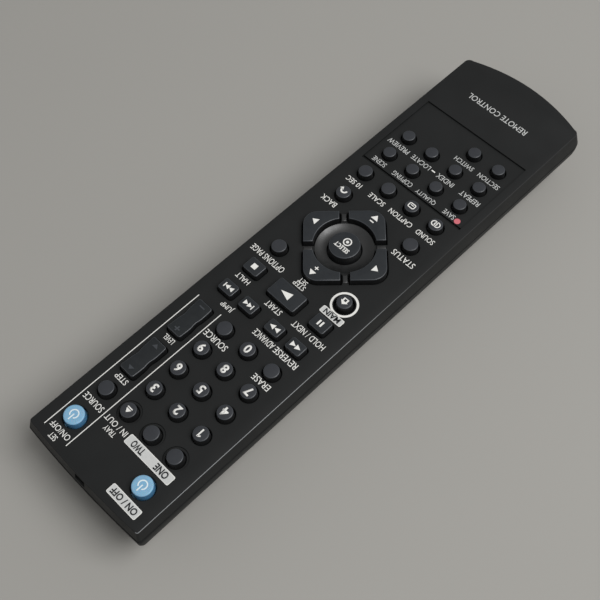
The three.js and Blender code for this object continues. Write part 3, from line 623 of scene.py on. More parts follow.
def plan_ring(half, front, end, corners, height):
    """Points round the case. height is a number, or a function of the place along it."""
    sizes = case_sizes()
    points = end_points(half, front, 1, sizes.front_crown, corners[0])
    points += reversed(end_points(half, end, -1, sizes.end_crown, corners[1]))
    return [(x, y, height(y) if callable(height) else height) for x, y in points]


def corners_at(share, inset):
    """Radii of the front and end corners, from 0 at the face to 1 at the waist, less an inset."""
    sizes = case_sizes()
    pairs = ((sizes.front_corner, sizes.front_waist), (sizes.end_corner, sizes.end_waist))
    return [max(face + (waist - face) * share - inset, sizes.least_corner) for face, waist in pairs]


def wall_ring(depth, inset=0.0, height=None):
    """The ring of the case's wall at a depth below the face, drawn in by an inset."""
    sizes = case_sizes()
    share = min(depth / sizes.waist, 1)
    reach = sizes.flare * share - inset
    ends = sizes.face_length / 2 + reach
    height = face_z - depth if height is None else height
    return plan_ring(sizes.face_width / 2 + reach, ends, -ends, corners_at(share, inset), height)


def belly_ring(share, inset):
    """A ring of the underside, from 0 where it leaves the wall to 1 where it is flat."""
    sizes = case_sizes()
    drawn = 1 - math.cos(share * math.pi / 2)
    half = sizes.face_width / 2 + sizes.flare - inset
    ends = sizes.face_length / 2 + sizes.flare - inset
    top = face_z - sizes.belly
    return plan_ring(
        half - (sizes.belly_side - inset) * drawn,
        ends - (sizes.belly_front - inset) * drawn,
        -ends + (sizes.belly_end - inset) * drawn,
        [corner + sizes.belly_growth * drawn for corner in corners_at(1, inset)],
        inset + (top - inset) * (1 - math.sin(share * math.pi / 2)),
    )


def belly_rings(inset=0.0, steps=12):
    """The rings of the underside, from its flat up to where the walls turn upright."""
    return [belly_ring(1 - step / steps, inset) for step in range(steps + 1)]


def case_form(inset=0.0):
    """The whole form of the case with its walls drawn in by an inset, up to its face."""
    return lofted([*belly_rings(inset), wall_ring(0, inset, height=face_z)])


def outside():
    """The whole outside of the case, with the small rounded edge of its face."""
    crease = case_sizes().crease
    rings = [*belly_rings(), wall_ring(crease)]
    for turn in (22.5, 45, 67.5, 90):
        back, up = [crease * (1 - way(math.radians(turn))) for way in (math.cos, math.sin)]
        rings.append(wall_ring(0, inset=back, height=face_z - up))
    return lofted(rings)


def seam_slope():
    """How far the seam rises towards the front, for each metre along the case."""
    sizes = case_sizes()
    return (sizes.seam_end - sizes.seam_front) / sizes.face_length


def seam_height(lift):
    """The height of the seam at a place along the case, raised by a lift."""
    sizes = case_sizes()
    mean, slope = (sizes.seam_front + sizes.seam_end) / 2, seam_slope()
    return lambda y: face_z - mean + slope * y + lift


def seam_groove():
    """The cutter for the shallow groove round the case, which the seam lies in the middle of."""
    sizes = case_sizes()
    half = sizes.seam_groove / 2
    slab = [wall_ring(sizes.seam_front, -OVER, seam_height(lift)) for lift in (-half, half)]
    sink = sizes.seam_sink
    core = [wall_ring(sizes.seam_front, sink, seam_height(lift)) for lift in (-OVER, OVER)]
    return carved(piece("seam_groove", lofted(slab)), lofted(core))


def half_of_case(name, materials, lift, above):
    """The part of the outside above or below the seam, which slopes down to the battery end."""
    shape = outside()
    cut = bmesh.ops.bisect_plane(
        shape,
        geom=whole(shape),
        plane_co=(0, 0, seam_height(lift)(0)),
        plane_no=(0, -seam_slope(), 1),
        clear_inner=above,
        clear_outer=not above,
    )["geom_cut"]
    edges = [item for item in cut if isinstance(item, bmesh.types.BMEdge)]
    bmesh.ops.edgeloop_fill(shape, edges=edges)
    bmesh.ops.recalc_face_normals(shape, faces=shape.faces)
    return carved(piece(name, shape, None, *materials), seam_groove())


def lip_form(set_back, lift):
    """The seam's inner lip, set back from the outside and up to a lift above the seam."""
    sizes = case_sizes()
    top = wall_ring(sizes.seam_front, set_back, seam_height(lift))
    return lofted([wall_ring(sizes.seam_end + OVER, set_back), top])


def panel_ends():
    """The places of the panel's front and far edges along the case."""
    sizes = case_sizes()
    return [(0.5 - share) * sizes.face_length for share in (sizes.panel_front, sizes.panel_end)]


def deck_height(y):
    """The height of the deck at a place along the case, which is lower on the panel."""
    front, end = panel_ends()
    return face_z - case_sizes().panel_depth if end < y < front else face_z


def panel_tool():
    """The cutter for the recessed panel, with a slope at its front and a bowed far edge."""
    sizes = case_sizes()
    front, end = panel_ends()
    half = sizes.panel_width / 2
    shape = block((-half, end, face_z - sizes.panel_depth), (half, front, face_z + OVER))
    long = [edge for edge in shape.edges if abs(edge.calc_length() - 2 * half) < MM / 100]
    for edge in long:
        bmesh.ops.subdivide_edges(shape, edges=[edge], cuts=15, use_grid_fill=False)
    for vert in shape.verts:
        if vert.co.y < (front + end) / 2:
            vert.co.y -= sizes.panel_bow * (1 - (vert.co.x / half) ** 2)
        elif vert.co.z > face_z:
            vert.co.y += sizes.panel_ramp
    return shape


def groove_tool():
    """The cutter for the groove at the foot of the panel's slope, whose rims wear has widened."""
    sizes, wear_and_painted_highlight = case_sizes(), key_sizes().rim
    front = panel_ends()[0]
    half = sizes.panel_width / 2
    floor = face_z - sizes.panel_depth - sizes.groove_depth
    low = (-half, front - sizes.groove - wear_and_painted_highlight, floor)
    return block(low, (half, front + wear_and_painted_highlight, face_z - sizes.panel_depth / 2))


def window_tool():
    """The cutter for the infra-red window, which goes through the front wall."""
    sizes = case_sizes()
    top, half = face_z - sizes.window_drop, sizes.window_width / 2
    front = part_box("top_case")[1].y
    low = (-half, front - 3 * sizes.wall, top - sizes.window_height)
    return block(low, (half, front + OVER, top))


def assign_case_finishes(made):
    """Gives the long sides' crease its painted highlight, and the sunken ring its own finish."""
    sizes, dish, centre = case_sizes(), key_sizes().dish, middle("enter_key")
    crease_facing, dish_facing = 0.2, 0.3
    for face in made.data.polygons:
        place, up = face.center, face.normal.z
        # The crease faces take the painted highlight.
        side = abs(place.x) > sizes.face_width / 2 - MM and up > crease_facing
        if side and face_z - 1.01 * sizes.crease < place.z < face_z - MM / 1000:
            face.material_index = 1
        near = math.dist(place.xy, centre) < dish + MM / 20
        if near and deck_bottom() < place.z < face_z - MM / 100 and up > dish_facing:
            face.material_index = 2


class REMOTE_OT_top_case(bpy.types.Operator):
    """Builds the upper half of the case with its key holes, dish, panel and infra-red window"""

    bl_idname = "remote.top_case"
    bl_label = "Top case"

    def execute(self, context):
        sizes = case_sizes()
        finish = moulded_abs("abs_spark_eroded_charcoal"), rubbed_abs(), polished_abs()
        made = half_of_case("top_case_shell", finish, sizes.seam / 2, True)
        room = [wall_ring(sizes.deck, sizes.wall, height=0), wall_ring(sizes.deck, sizes.wall)]
        holes = [hole_tool(name) for name in ROUND_KEYS if name != "enter_key"]
        holes += [plan_tool(name) for name in (*BAR_KEYS, *ROCKERS, *PADS)]
        for tool in (
            lofted(room),
            lip_form(sizes.lip_wall - sizes.seam, sizes.lip_height + sizes.seam),
            panel_tool(),
            groove_tool(),
            merged(*holes),
            dish_tool(),
            window_tool(),
        ):
            carved(made, tool)
        assign_case_finishes(made)
        fitted(made, "case", "top_case")
        return {"FINISHED"}


def bay_corners():
    """The two corners of the room for the cells and their contacts."""
    left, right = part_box("battery_left"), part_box("battery_right")
    bridge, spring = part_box("contact_bridge"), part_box("contact_spring")
    gap = door_sizes().bay_gap
    low = Vector((left[0].x - gap, bridge[0].y - gap, left[0].z))
    return low, Vector((right[1].x + gap, spring[1].y + gap, left[1].z + gap))


def door_room():
    """The room of the battery door in the tub, with its two rails and the door's upright end."""
    door = door_sizes()
    margin = door.margin
    low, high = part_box("battery_door")
    half = high.x - door.rail + margin
    front, back = high.y + margin, low.y - door.door
    top = door.door + margin
    end = bay_corners()[0].y - door.bay_wall
    plate = block((-half, back, -OVER), (half, front, top))
    rails = block((-half - door.rail, back, door.rail_lip), (half + door.rail, front, top))
    return union(plate, rails, block((-half, back, -OVER), (half, end, high.z + margin)))


def bay_walls():
    """The walls round the battery bay and the door's rails, as far as they stay in the tub."""
    sizes, door = case_sizes(), door_sizes()
    low, high = bay_corners()
    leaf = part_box("battery_door")
    wall = door.bay_wall
    foot = MM
    outer = block((low.x - wall, low.y - wall, foot), (high.x + wall, high.y + wall, high.z + wall))
    half = leaf[1].x + door.margin + wall
    top = door.door + door.margin + wall
    ledge = block((-half, leaf[0].y, foot), (half, leaf[1].y + sizes.wall, top))
    half -= door.rail
    cap = block((-half, leaf[0].y, foot), (half, low.y, leaf[1].z + door.margin + wall))
    return carved(union(outer, ledge, cap), case_form(sizes.wall / 2), "INTERSECT")


class REMOTE_OT_bottom_case(bpy.types.Operator):
    """Builds the lower half of the case, a rounded tub with the battery bay and the seam's lip"""

    bl_idname = "remote.bottom_case"
    bl_label = "Bottom case"

    def execute(self, context):
        sizes, door = case_sizes(), door_sizes()
        finish = [moulded_abs("abs_spark_eroded_tub")]
        made = half_of_case("bottom_case_tub", finish, -sizes.seam / 2, False)
        carved(made, lip_form(sizes.lip_wall, sizes.lip_height), "UNION")
        carved(made, case_form(sizes.wall))
        carved(made, bay_walls(), "UNION")
        low, high = bay_corners()
        carved(made, block((low.x, low.y, -OVER), high))
        carved(made, door_room())
        half, deep = door.strip_slot / 2, 1.1 * MM
        for name in CELLS:
            x = middle(name)[0]
            low = (x - half, high.y - deep, high.z - 2 * MM)
            carved(made, block(low, (x + half, high.y, high.z + 2 * door.bay_wall)))
        fitted(made, "case", "bottom_case")
        return {"FINISHED"}


class REMOTE_OT_battery_door(bpy.types.Operator):
    """Builds the battery door, a slice of the tub with a rail on each side and a ribbed grip"""

    bl_idname = "remote.battery_door"
    bl_label = "Battery door"

    def execute(self, context):
        door = door_sizes()
        low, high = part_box("battery_door")
        half, back = high.x - door.rail, low.y - door.door
        bay_end = bay_corners()[0].y
        made = piece("battery_door_shell", case_form(), None, moulded_abs("abs_spark_eroded_door"))
        carved(made, case_form(case_sizes().wall))
        plate = block((-half, back, -OVER), (half, high.y, door.door))
        end = bay_end - door.bay_wall - door.margin
        carved(made, union(plate, block((-half, back, -OVER), (half, end, high.z))), "INTERSECT")
        low = (-high.x, bay_end, door.rail_lip + door.margin)
        rails = piece("rails", case_form())
        carved(rails, block(low, (high.x, high.y, door.door)), "INTERSECT")
        carved(made, rails, "UNION")
        slots, half = [], door.grip_width / 2
        for number in range(6):
            y = high.y - door.grip_start - number * door.grip_pitch
            slots.append(block((-half, y - door.grip_slot, -OVER), (half, y, door.grip_depth)))
        carved(made, merged(*slots))
        fitted(made, "battery_door", "battery_door")
        return {"FINISHED"}


# Keys

DIGITS = [f"digit_{number}_key" for number in range(10)]
MODE_KEYS = ["mode_a_key", "mode_b_key", "eject_key"]
ROUND_KEYS = [
    *MODE_KEYS, "tv_input_key", *DIGITS, "clear_key", "input_key", "home_key", "menu_key",
    "display_key", "return_key", "audio_key", "subtitle_key", "zoom_key", "jump_key",
    "record_key", "record_mode_key", "copy_key", "title_key", "play_mode_key", "marker_key",
    "search_key", "preview_key", "chapter_key", "tv_switch_key", "power_key", "tv_power_key",
    "enter_key",
]
BAR_KEYS = [
    "seek_back_key", "seek_forward_key", "skip_back_key", "skip_forward_key", "pause_key",
    "play_key", "stop_key",
]
ROCKERS = ["channel_rocker", "volume_rocker"]
# The four corner pads, each with its turn in degrees about the middle key
PADS = {"up_key": 0, "left_key": 90, "down_key": 180, "right_key": 270}


def cap_size(name):
    """Width and length of a key's cap, which is narrower than its node by the hidden flange."""
    low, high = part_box(name)
    reach = 2 * key_sizes().flange
    return high.x - low.x - reach, high.y - low.y - reach


def round_radius(name):
    """A round key's radius. Its CAD node has few sides, so the greatest width is the true one."""
    return max(cap_size(name)) / 2


def about_pad(turn):
    """A matrix that turns a shape about the middle key and moves it there."""
    place = Matrix.Translation((*middle("enter_key"), 0))
    return place @ Matrix.Rotation(math.radians(turn), 4, "Z")


def hole_tool(name):
    """The cutter for a round key's hole, with a bevelled rim and for some keys a shallow collar."""
    keys = key_sizes()
    centre = middle(name)
    deck, foot, rim = deck_height(centre[1]), deck_bottom() - OVER, keys.rim
    radius = round_radius(name) + keys.gap + (keys.home_room if name == "home_key" else 0)
    profile = [(0, foot), (radius, foot)]
    if name in MODE_KEYS:
        floor, wide = deck - keys.collar_depth, radius + keys.collar
        profile += [(radius, floor - rim), (radius + rim, floor), (wide - rim / 2, floor)]
        profile += [(wide, deck)]
    else:
        profile += [(radius, deck - rim), (radius + rim, deck)]
    profile += [(profile[-1][0], deck + OVER), (0, deck + OVER)]
    return spun(profile, centre, HOLE_SIDES)


def dish_tool():
    """The cutter for the sunken ring, a hollow curve from the pads to the middle key's hole."""
    keys = key_sizes()
    radius, rim = round_radius("enter_key") + keys.gap, keys.rim
    floor, foot = face_z - keys.dish_depth, deck_bottom() - OVER
    profile = [(0, foot), (radius, foot), (radius, floor - rim)]
    steps, hollow = 10, 2.2
    for step in range(steps + 1):
        share = step / steps
        out = radius + rim + (keys.dish - radius - rim) * share
        profile.append((out, floor + keys.dish_depth * share**hollow))
    profile += [(keys.dish, face_z + OVER), (0, face_z + OVER)]
    return spun(profile, middle("enter_key"), DISH_SIDES)


def bar_plan(name, grow):
    """Points round a bar key or rocker, grown by a margin. A rocker is pinched in a bell curve."""
    keys = key_sizes()
    width, along = cap_size(name)
    x, y = middle(name)
    inner_x, inner_y = width / 2 - keys.corner, along / 2 - keys.corner
    pinch_steps, pinch_ends = 16, 1.6
    points = []
    for turn, side, end in ((0, 1, 1), (90, -1, 1), (180, -1, -1), (270, 1, -1)):
        corner = (x + side * inner_x, y + end * inner_y)
        points += quarter(corner, keys.corner + grow, turn, turn + 90, 6)
        if name in ROCKERS and turn in (90, 270):
            for step in range(pinch_steps + 1):
                place = pinch_ends * (1 - 2 * step / pinch_steps)
                out = width / 2 + grow - keys.waist * math.exp(-(place**2))
                points.append((x + side * out, y - side * place * keys.waist_length))
    return points


def pad_plan(name, grow):
    """Points round a corner pad: a quarter of a rounded square outside a circular opening."""
    keys = key_sizes()
    reach, inner, corner = keys.pad_reach + grow, keys.pad_inner - grow, keys.pad_corner + grow
    half = keys.pad_split / 2 - grow
    root = math.sqrt(0.5)
    along = math.sqrt(inner * inner - half * half)
    near, far = (along - half) * root, (along + half) * root
    low, high = (reach - half) * root, (reach + half) * root
    points = [(near, far), (low, high)]
    corner_steps, opening_steps = 12, 28
    points += quarter((0, reach / root - corner / root), corner, 45, 135, corner_steps)
    points.append((-low, high))
    end = math.degrees(math.atan2(far, -near))
    points += quarter((0, 0), inner, end, 180 - end, opening_steps)[:-1]
    place = about_pad(PADS[name])
    return [(place @ Vector((x, y, 0))).xy for x, y in points]


def stacked(name, levels):
    """A closed shape through a key's plan at several levels, each a pair of margin and height."""
    plan = pad_plan if name in PADS else bar_plan
    return lofted([[(*point, height) for point in plan(name, grow)] for grow, height in levels])


def plan_tool(name):
    """The cutter for the hole of a key that isn't round, with a bevelled rim."""
    gap, rim = key_sizes().gap, key_sizes().rim
    levels = [(gap, deck_bottom() - OVER), (gap, face_z - rim)]
    return stacked(name, levels + [(gap + rim, face_z), (gap + rim, face_z + OVER)])


def post(name, spot, height):
    """A post from the foot of a key up to a height."""
    low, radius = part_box(name)[0].z, key_sizes().stem
    return spun([(0, low), (radius, low), (radius, height), (0, height)], spot, POST_SIDES)


def plan_key(name):
    """A bar, rocker or pad: hidden flange, cap with a rounded edge, and posts below."""
    keys = key_sizes()
    top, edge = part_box(name)[1].z, keys.bar_edge
    flange_high = deck_bottom() - keys.flange_gap - (keys.rocker_room if name in ROCKERS else 0)
    flange_low = flange_high - keys.flange_height
    levels = [(keys.flange, flange_low), (keys.flange, flange_high), (0, flange_high)]
    shape = stacked(name, levels + quarter((-keys.draft / 2 - edge, top - edge), edge, 0, 90, 5))
    if name in ROCKERS:
        dip(shape, name)
    return merged(shape, *[post(name, spot, flange_low) for spot in post_spots(name)])


def post_spots(name):
    """Where the posts below a key stand: two below a rocker, and one on a pad's straight side."""
    x, y = middle(name)
    if name in ROCKERS:
        reach = cap_size(name)[1] / 2 - key_sizes().stem
        return [(x, y - reach), (x, y + reach)]
    if name in PADS:
        turn, out = math.radians(PADS[name]), key_sizes().pad_reach
        x, y = middle("enter_key")
        return [(x - out * math.sin(turn), y + out * math.cos(turn))]
    return [(x, y)]


def sag(name, y):
    """How far the top of a rocker lies below its two ends, at a place along it."""
    share = (y - middle(name)[1]) / (cap_size(name)[1] / 2)
    return key_sizes().dip * max(1 - share**2, 0)


def dip(shape, name):
    """Sinks the top of a rocker in a shallow curve between its two ends."""
    top, y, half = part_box(name)[1].z, middle(name)[1], cap_size(name)[1] / 2
    rows = 24
    for row in range(1, rows):
        place = (0, y + half * (2 * row / rows - 1), 0)
        bmesh.ops.bisect_plane(shape, geom=whole(shape), plane_co=place, plane_no=(0, 1, 0))
    for vert in shape.verts:
        raised = max(1 - (top - vert.co.z) / (top - face_z), 0)
        vert.co.z -= sag(name, vert.co.y) * raised


def round_key(name):
    """A round key: post, hidden flange, and a cap with a rounded edge and a faint dome."""
    keys = key_sizes()
    low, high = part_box(name)
    radius = round_radius(name)
    flange_high = deck_bottom() - keys.flange_gap
    flange_low, rim = flange_high - keys.flange_height, radius + keys.flange
    edge = keys.power_edge if "power" in name else keys.edge
    shoulder, reach = high.z - keys.dome, radius - keys.draft - edge
    profile = [(0, low.z), (keys.stem, low.z), (keys.stem, flange_low), (rim, flange_low)]
    profile += [(rim, flange_high), (radius, flange_high)]
    # The edge stops short of level, where the dome takes over.
    profile += quarter((reach, shoulder - edge), edge, 0, 84, 6)
    for share in (0.8, 0.55, 0.28, 0):
        profile.append((reach * share, shoulder + keys.dome * (1 - share**2)))
    return spun(profile, middle(name))


def add_key(name, shape, top, edge="painted_edge_highlight", skirt="skirts"):
    """Adds a key with one rubber finish on top, one on its rounded edge and one down its sides:
    painted shade on the sides, and on the dark keys a painted highlight on the edge.
    """
    finish = [bpy.data.materials["silicone_rubber_" + part] for part in (top, edge, skirt)]
    made = smoothed(piece(name + "_cap", shape, name, *finish), 50)
    # Faces are sorted by how far they face up: tops, edges with the painted highlight, and sides
    # with the painted shade.
    top_facing, edge_facing = 0.95, 0.4
    for face in made.data.polygons:
        up = face.normal.z
        face.material_index = 0 if up > top_facing else 1 if up > edge_facing else 2
    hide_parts(name)


class REMOTE_OT_round_keys(bpy.types.Operator):
    """Builds the round rubber keys, the two blue ones and the middle key of the pad"""

    bl_idname = "remote.round_keys"
    bl_label = "Round keys"

    def execute(self, context):
        tones = finishes()
        dark_silicone("silicone_rubber_dark", tones.key)
        dark_silicone("silicone_rubber_large_keys", tones.large_key)
        # Painted highlight: a lighter tone for the dark keys' edges and the rockers' raised signs.
        dark_silicone("silicone_rubber_painted_edge_highlight", tones.key_edge, (0.34, 0.44), 0.5)
        # Painted shade for the dark keys' sides.
        dark_silicone("silicone_rubber_skirts", tones.skirt)
        blue_silicone("silicone_rubber_blue", tones.power)
        # Painted shade for the blue keys' sides.
        blue_silicone("silicone_rubber_blue_skirts", tones.power_skirt)
        for name in ROUND_KEYS:
            if "power" in name:
                add_key(name, round_key(name), "blue", "blue", "blue_skirts")
            else:
                add_key(name, round_key(name), "large_keys" if name == "enter_key" else "dark")
        return {"FINISHED"}


class REMOTE_OT_bar_keys(bpy.types.Operator):
    """Builds the bar keys and the two pinched rockers"""

    bl_idname = "remote.bar_keys"
    bl_label = "Bar keys and rockers"

    def execute(self, context):
        dark_silicone("silicone_rubber_rockers", finishes().rocker)
        for name in (*BAR_KEYS, *ROCKERS):
            add_key(name, plan_key(name), "rockers" if name in ROCKERS else "large_keys")
        return {"FINISHED"}


def pad_ribs():
    """Four low ribs on the deck, one between each two corner pads, with rounded tops."""
    keys = key_sizes()
    half = keys.pad_split / 2 - keys.gap - keys.rim
    ribs = []
    for turn in (45, 135, 225, 315):
        low = (keys.pad_inner, -half, face_z - keys.rim)
        shape = block(low, (keys.pad_reach, half, face_z + keys.pad_rib))
        top = [edge for edge in shape.edges if min(vert.co.z for vert in edge.verts) > face_z]
        bevelled(shape, top, keys.pad_rib, "EDGES", 4)
        bmesh.ops.transform(shape, matrix=about_pad(turn), verts=shape.verts)
        ribs.append(shape)
    return merged(*ribs)


class REMOTE_OT_pads(bpy.types.Operator):
    """Builds the four corner pads round the middle key, and the ribs between them"""

    bl_idname = "remote.pads"
    bl_label = "Corner pads"

    def execute(self, context):
        for name in PADS:
            add_key(name, plan_key(name), "large_keys")
        ribs = piece("pad_ribs", pad_ribs(), "case", bpy.data.materials["abs_polished_dish"])
        smoothed(ribs, 40)
        return {"FINISHED"}


# Print

# Generic words in the places of the printed ones, with their left, right, low and high edges in
# millimetres.
WORDS = [
    ("SET", 13.6, 16.4, 95.2, 97.0), ("ON/OFF", 11.0, 18.9, 92.5, 94.4),
    ("TRAY", 2.5, 6.9, 82.8, 84.5), ("IN / OUT", -0.1, 9.7, 80.2, 82.1),
    ("SOURCE", 11.1, 19.0, 80.1, 82.2), ("STEP", 12.2, 17.9, 69.7, 71.6),
    ("LEVEL", 13.1, 17.1, 51.3, 53.1), ("ERASE", -18.4, -11.5, 41.7, 43.8),
    ("SOURCE", 0.2, 9.3, 41.6, 43.8), ("REVERSE", -19.0, -9.9, 31.2, 33.4),
    ("ADVANCE", -9.3, -1.1, 31.2, 33.4), ("JUMP", 8.2, 13.3, 31.2, 33.4),
    ("HOLD / NEXT", -20.3, -7.4, 21.2, 23.3), ("START", -2.7, 3.6, 21.9, 23.9),
    ("HALT", 12.0, 17.4, 21.4, 23.2), ("STEP", -2.7, 3.7, 11.0, 12.8),
    ("SET", -1.1, 2.3, 9.3, 11.0), ("OPTIONS PAGE", 7.7, 21.5, 10.7, 12.9),
    ("STATUS", -20.2, -11.3, -18.4, -16.3), ("BACK", 12.3, 20.4, -18.1, -16.1),
    ("SOUND", -18.7, -11.6, -29.0, -27.1), ("CAPTION", -9.4, -0.1, -29.0, -27.1),
    ("SCALE", 2.0, 9.1, -29.0, -27.1), ("10 SEC", 12.6, 18.7, -29.0, -27.1),
    ("SAVE", -16.8, -12.3, -41.1, -39.2), ("QUALITY", -9.2, -0.3, -41.1, -39.2),
    ("COPYING", 1.4, 9.6, -41.1, -39.2), ("SCENE", 13.0, 18.4, -41.1, -39.2),
    ("REPEAT", -20.0, -10.5, -50.3, -48.4), ("INDEX", -8.2, -1.5, -50.3, -48.4),
    ("LOCATE", 1.8, 9.5, -50.3, -48.4), ("PREVIEW", 11.2, 19.9, -50.3, -48.4),
    ("SECTION", -19.4, -10.9, -59.6, -57.8), ("SWITCH", -8.6, -1.0, -59.6, -57.8),
    ("REMOTE CONTROL", -15.9, 17.3, -83.0, -80.7),
]
BOXED_WORDS = [
    ("ON / OFF", -19.5, -9.2, 93.1, 95.25), ("ONE", -17.6, -12.5, 80.1, 82.4),
    ("TWO", -7.4, -2.6, 80.1, 82.4), ("MAIN", -17.6, -10.8, 11.6, 13.5),
]
BOXES = [(-20.4, -8.3, 92.5, 95.8), (-19.4, -0.5, 79.6, 82.9), (-18.5, -9.9, 11.3, 13.8)]
# The long lines, each with its place across and its two ends
LINES = [(10.05, 35.6, 95.3), (20.05, 35.6, 95.3)]


def flat_solid(shape, height, thickness):
    """Lays a flat bmesh at a height and gives it a thickness."""
    bmesh.ops.recalc_face_normals(shape, faces=shape.faces)
    for face in shape.faces:
        if face.normal.z < 0:
            face.normal_flip()
    made = bmesh.ops.extrude_face_region(shape, geom=list(shape.faces))["geom"]
    tops = [item for item in made if isinstance(item, bmesh.types.BMVert)]
    for vert in shape.verts:
        vert.co.z = height
    bmesh.ops.translate(shape, verts=tops, vec=(0, 0, thickness))
    bmesh.ops.recalc_face_normals(shape, faces=shape.faces)
    return shape


def lettering(text, left, right, low, high, bold=0.0, narrow=0.85):
    """A word in the middle of a box, as high as the box and no wider, drawn narrow.

    It is a flat bmesh in metres. The box's edges are in millimetres.
    """
    curve = bpy.data.curves.new("word", "FONT")
    curve.body, curve.size, curve.offset, curve.resolution_u = text, 1, bold, 3
    carrier = bpy.data.objects.new("word", curve)
    bpy.context.scene.collection.objects.link(carrier)
    graph = bpy.context.evaluated_depsgraph_get()
    mesh = bpy.data.meshes.new_from_object(carrier.evaluated_get(graph))
    bpy.data.objects.remove(carrier)
    shape = bmesh.new()
    shape.from_mesh(mesh)
    bpy.data.meshes.remove(mesh)
    bmesh.ops.remove_doubles(shape, verts=shape.verts, dist=1e-5)
    xs, ys = [vert.co.x for vert in shape.verts], [vert.co.y for vert in shape.verts]
    tall = (high - low) * MM / (max(ys) - min(ys))
    wide = min((right - left) * MM / (max(xs) - min(xs)), tall * narrow)
    centre = Matrix.Translation((-(min(xs) + max(xs)) / 2, -(min(ys) + max(ys)) / 2, 0))
    spot = Matrix.Translation(((left + right) / 2 * MM, (low + high) / 2 * MM, 0))
    place = spot @ Matrix.Diagonal((wide, tall, 1, 1)) @ centre
    bmesh.ops.transform(shape, matrix=place, verts=shape.verts)
    return shape


def placed(x, y, turn=0.0, wide=1.0, tall=1.0):
    """A matrix that scales, turns and then moves a sign. Lengths are in millimetres."""
    size = Matrix.Diagonal((wide * MM, tall * MM, 1, 1))
    turned = Matrix.Rotation(math.radians(turn), 4, "Z") @ size
    return Matrix.Translation((x * MM, y * MM, 0)) @ turned


def bar(x, y, wide, tall, turn=0.0):
    """A flat rectangle about a place. Lengths are in millimetres, here and in the signs below."""
    shape = bmesh.new()
    place = placed(x, y, turn, wide, tall)
    bmesh.ops.create_grid(shape, x_segments=1, y_segments=1, size=0.5, matrix=place)
    return shape


def triangle(x, y, wide, tall, turn=0.0):
    """A triangle whose point faces +X before it is turned, in a box of the given size."""
    shape = bmesh.new()
    verts = bmesh.ops.create_circle(shape, cap_ends=True, segments=3, radius=1)["verts"]
    for vert, spot in zip(verts, ((0.5, 0), (-0.5, 0.5), (-0.5, -0.5))):
        vert.co.xy = spot
    bmesh.ops.transform(shape, matrix=placed(x, y, turn, wide, tall), verts=shape.verts)
    return shape


def dot(x, y, radius):
    """A flat disc."""
    shape = bmesh.new()
    place = placed(x, y)
    bmesh.ops.create_circle(shape, cap_ends=True, segments=32, radius=radius, matrix=place)
    return shape


def ring(x, y, radius, width, start=0.0, sweep=360.0):
    """A flat ring, or part of one, whose outer radius is given. Angles are in degrees."""
    shape = bmesh.new()
    turn = Matrix.Rotation(math.radians(start), 4, "Z")
    verts = [shape.verts.new(turn @ Vector((reach, 0, 0))) for reach in (radius - width, radius)]
    bmesh.ops.spin(
        shape,
        geom=[*verts, shape.edges.new(verts)],
        axis=(0, 0, 1),
        angle=math.radians(sweep),
        steps=max(int(sweep / 8), 4),
        use_merge=sweep >= 360,
    )
    bmesh.ops.transform(shape, matrix=placed(x, y), verts=shape.verts)
    return shape


def rounded_box(left, right, low, high, corner):
    """A flat rectangle with rounded corners."""
    shape = bar((left + right) / 2, (low + high) / 2, right - left, high - low)
    return bevelled(shape, list(shape.verts), corner * MM, "VERTICES", 5)


def outlined_box(wide, tall, corner, line):
    """The outline of a rounded rectangle about the middle."""
    shape = rounded_box(-wide / 2, wide / 2, -tall / 2, tall / 2, corner)
    inside = list(shape.faces)
    bmesh.ops.inset_region(
        shape, faces=inside, thickness=line * MM, use_even_offset=True, use_boundary=True
    )
    bmesh.ops.delete(shape, geom=inside, context="FACES")
    return shape


def deck_print(name, shapes, material, lift=0.0):
    """Print on the deck, each shape at the height of the deck below it."""
    solids = []
    for shape in shapes:
        y = sum(vert.co.y for vert in shape.verts) / len(shape.verts)
        solids.append(flat_solid(shape, deck_height(y) + lift, print_sizes().ink))
    piece(name, merged(*solids), "case", material)


class REMOTE_OT_deck_print(bpy.types.Operator):
    """Prints the boxes, lines and generic words on the deck"""

    bl_idname = "remote.deck_print"
    bl_label = "Print on the deck"

    def execute(self, context):
        tones, ink = finishes(), print_sizes().ink
        white, pale = screen_ink("white", tones.ink), screen_ink("pale_grey", tones.box_ink)
        grey, dark = screen_ink("grey", tones.grey_ink), screen_ink("dark", tones.dark_ink)
        front = panel_ends()[0] / MM
        words = [lettering(*word) for word in WORDS if word[3] > front]
        deck_print("deck_words", words, white)
        words = [lettering(*word) for word in WORDS if word[3] < front]
        deck_print("panel_words", words, grey)
        home = [place / MM for place in middle("home_key")]
        edges = [*[rounded_box(*box, 0.5) for box in BOXES], ring(*home, 4.45, 0.72)]
        deck_print("deck_box_edges", edges, white)
        rim = 0.2
        fills = [
            rounded_box(left + rim, right - rim, low + rim, high - rim, 0.4)
            for left, right, low, high in BOXES
        ]
        deck_print("deck_box_fills", fills, pale, lift=ink)
        line = print_sizes().line / MM
        lines = [bar(x, (low + high) / 2, line, high - low) for x, low, high in LINES]
        dash = bar(0.3, -49.4, 1.4, 0.45)
        deck_print("deck_lines", [*lines, dash], white)
        words = [lettering(*word, bold=0.03, narrow=1.0) for word in BOXED_WORDS]
        deck_print("deck_boxed_words", words, dark, lift=2 * ink)
        red = screen_ink("red", tones.red_ink)
        deck_print("deck_record_dot", [dot(-18.2, -39.9, 1.05)], red)
        return {"FINISHED"}


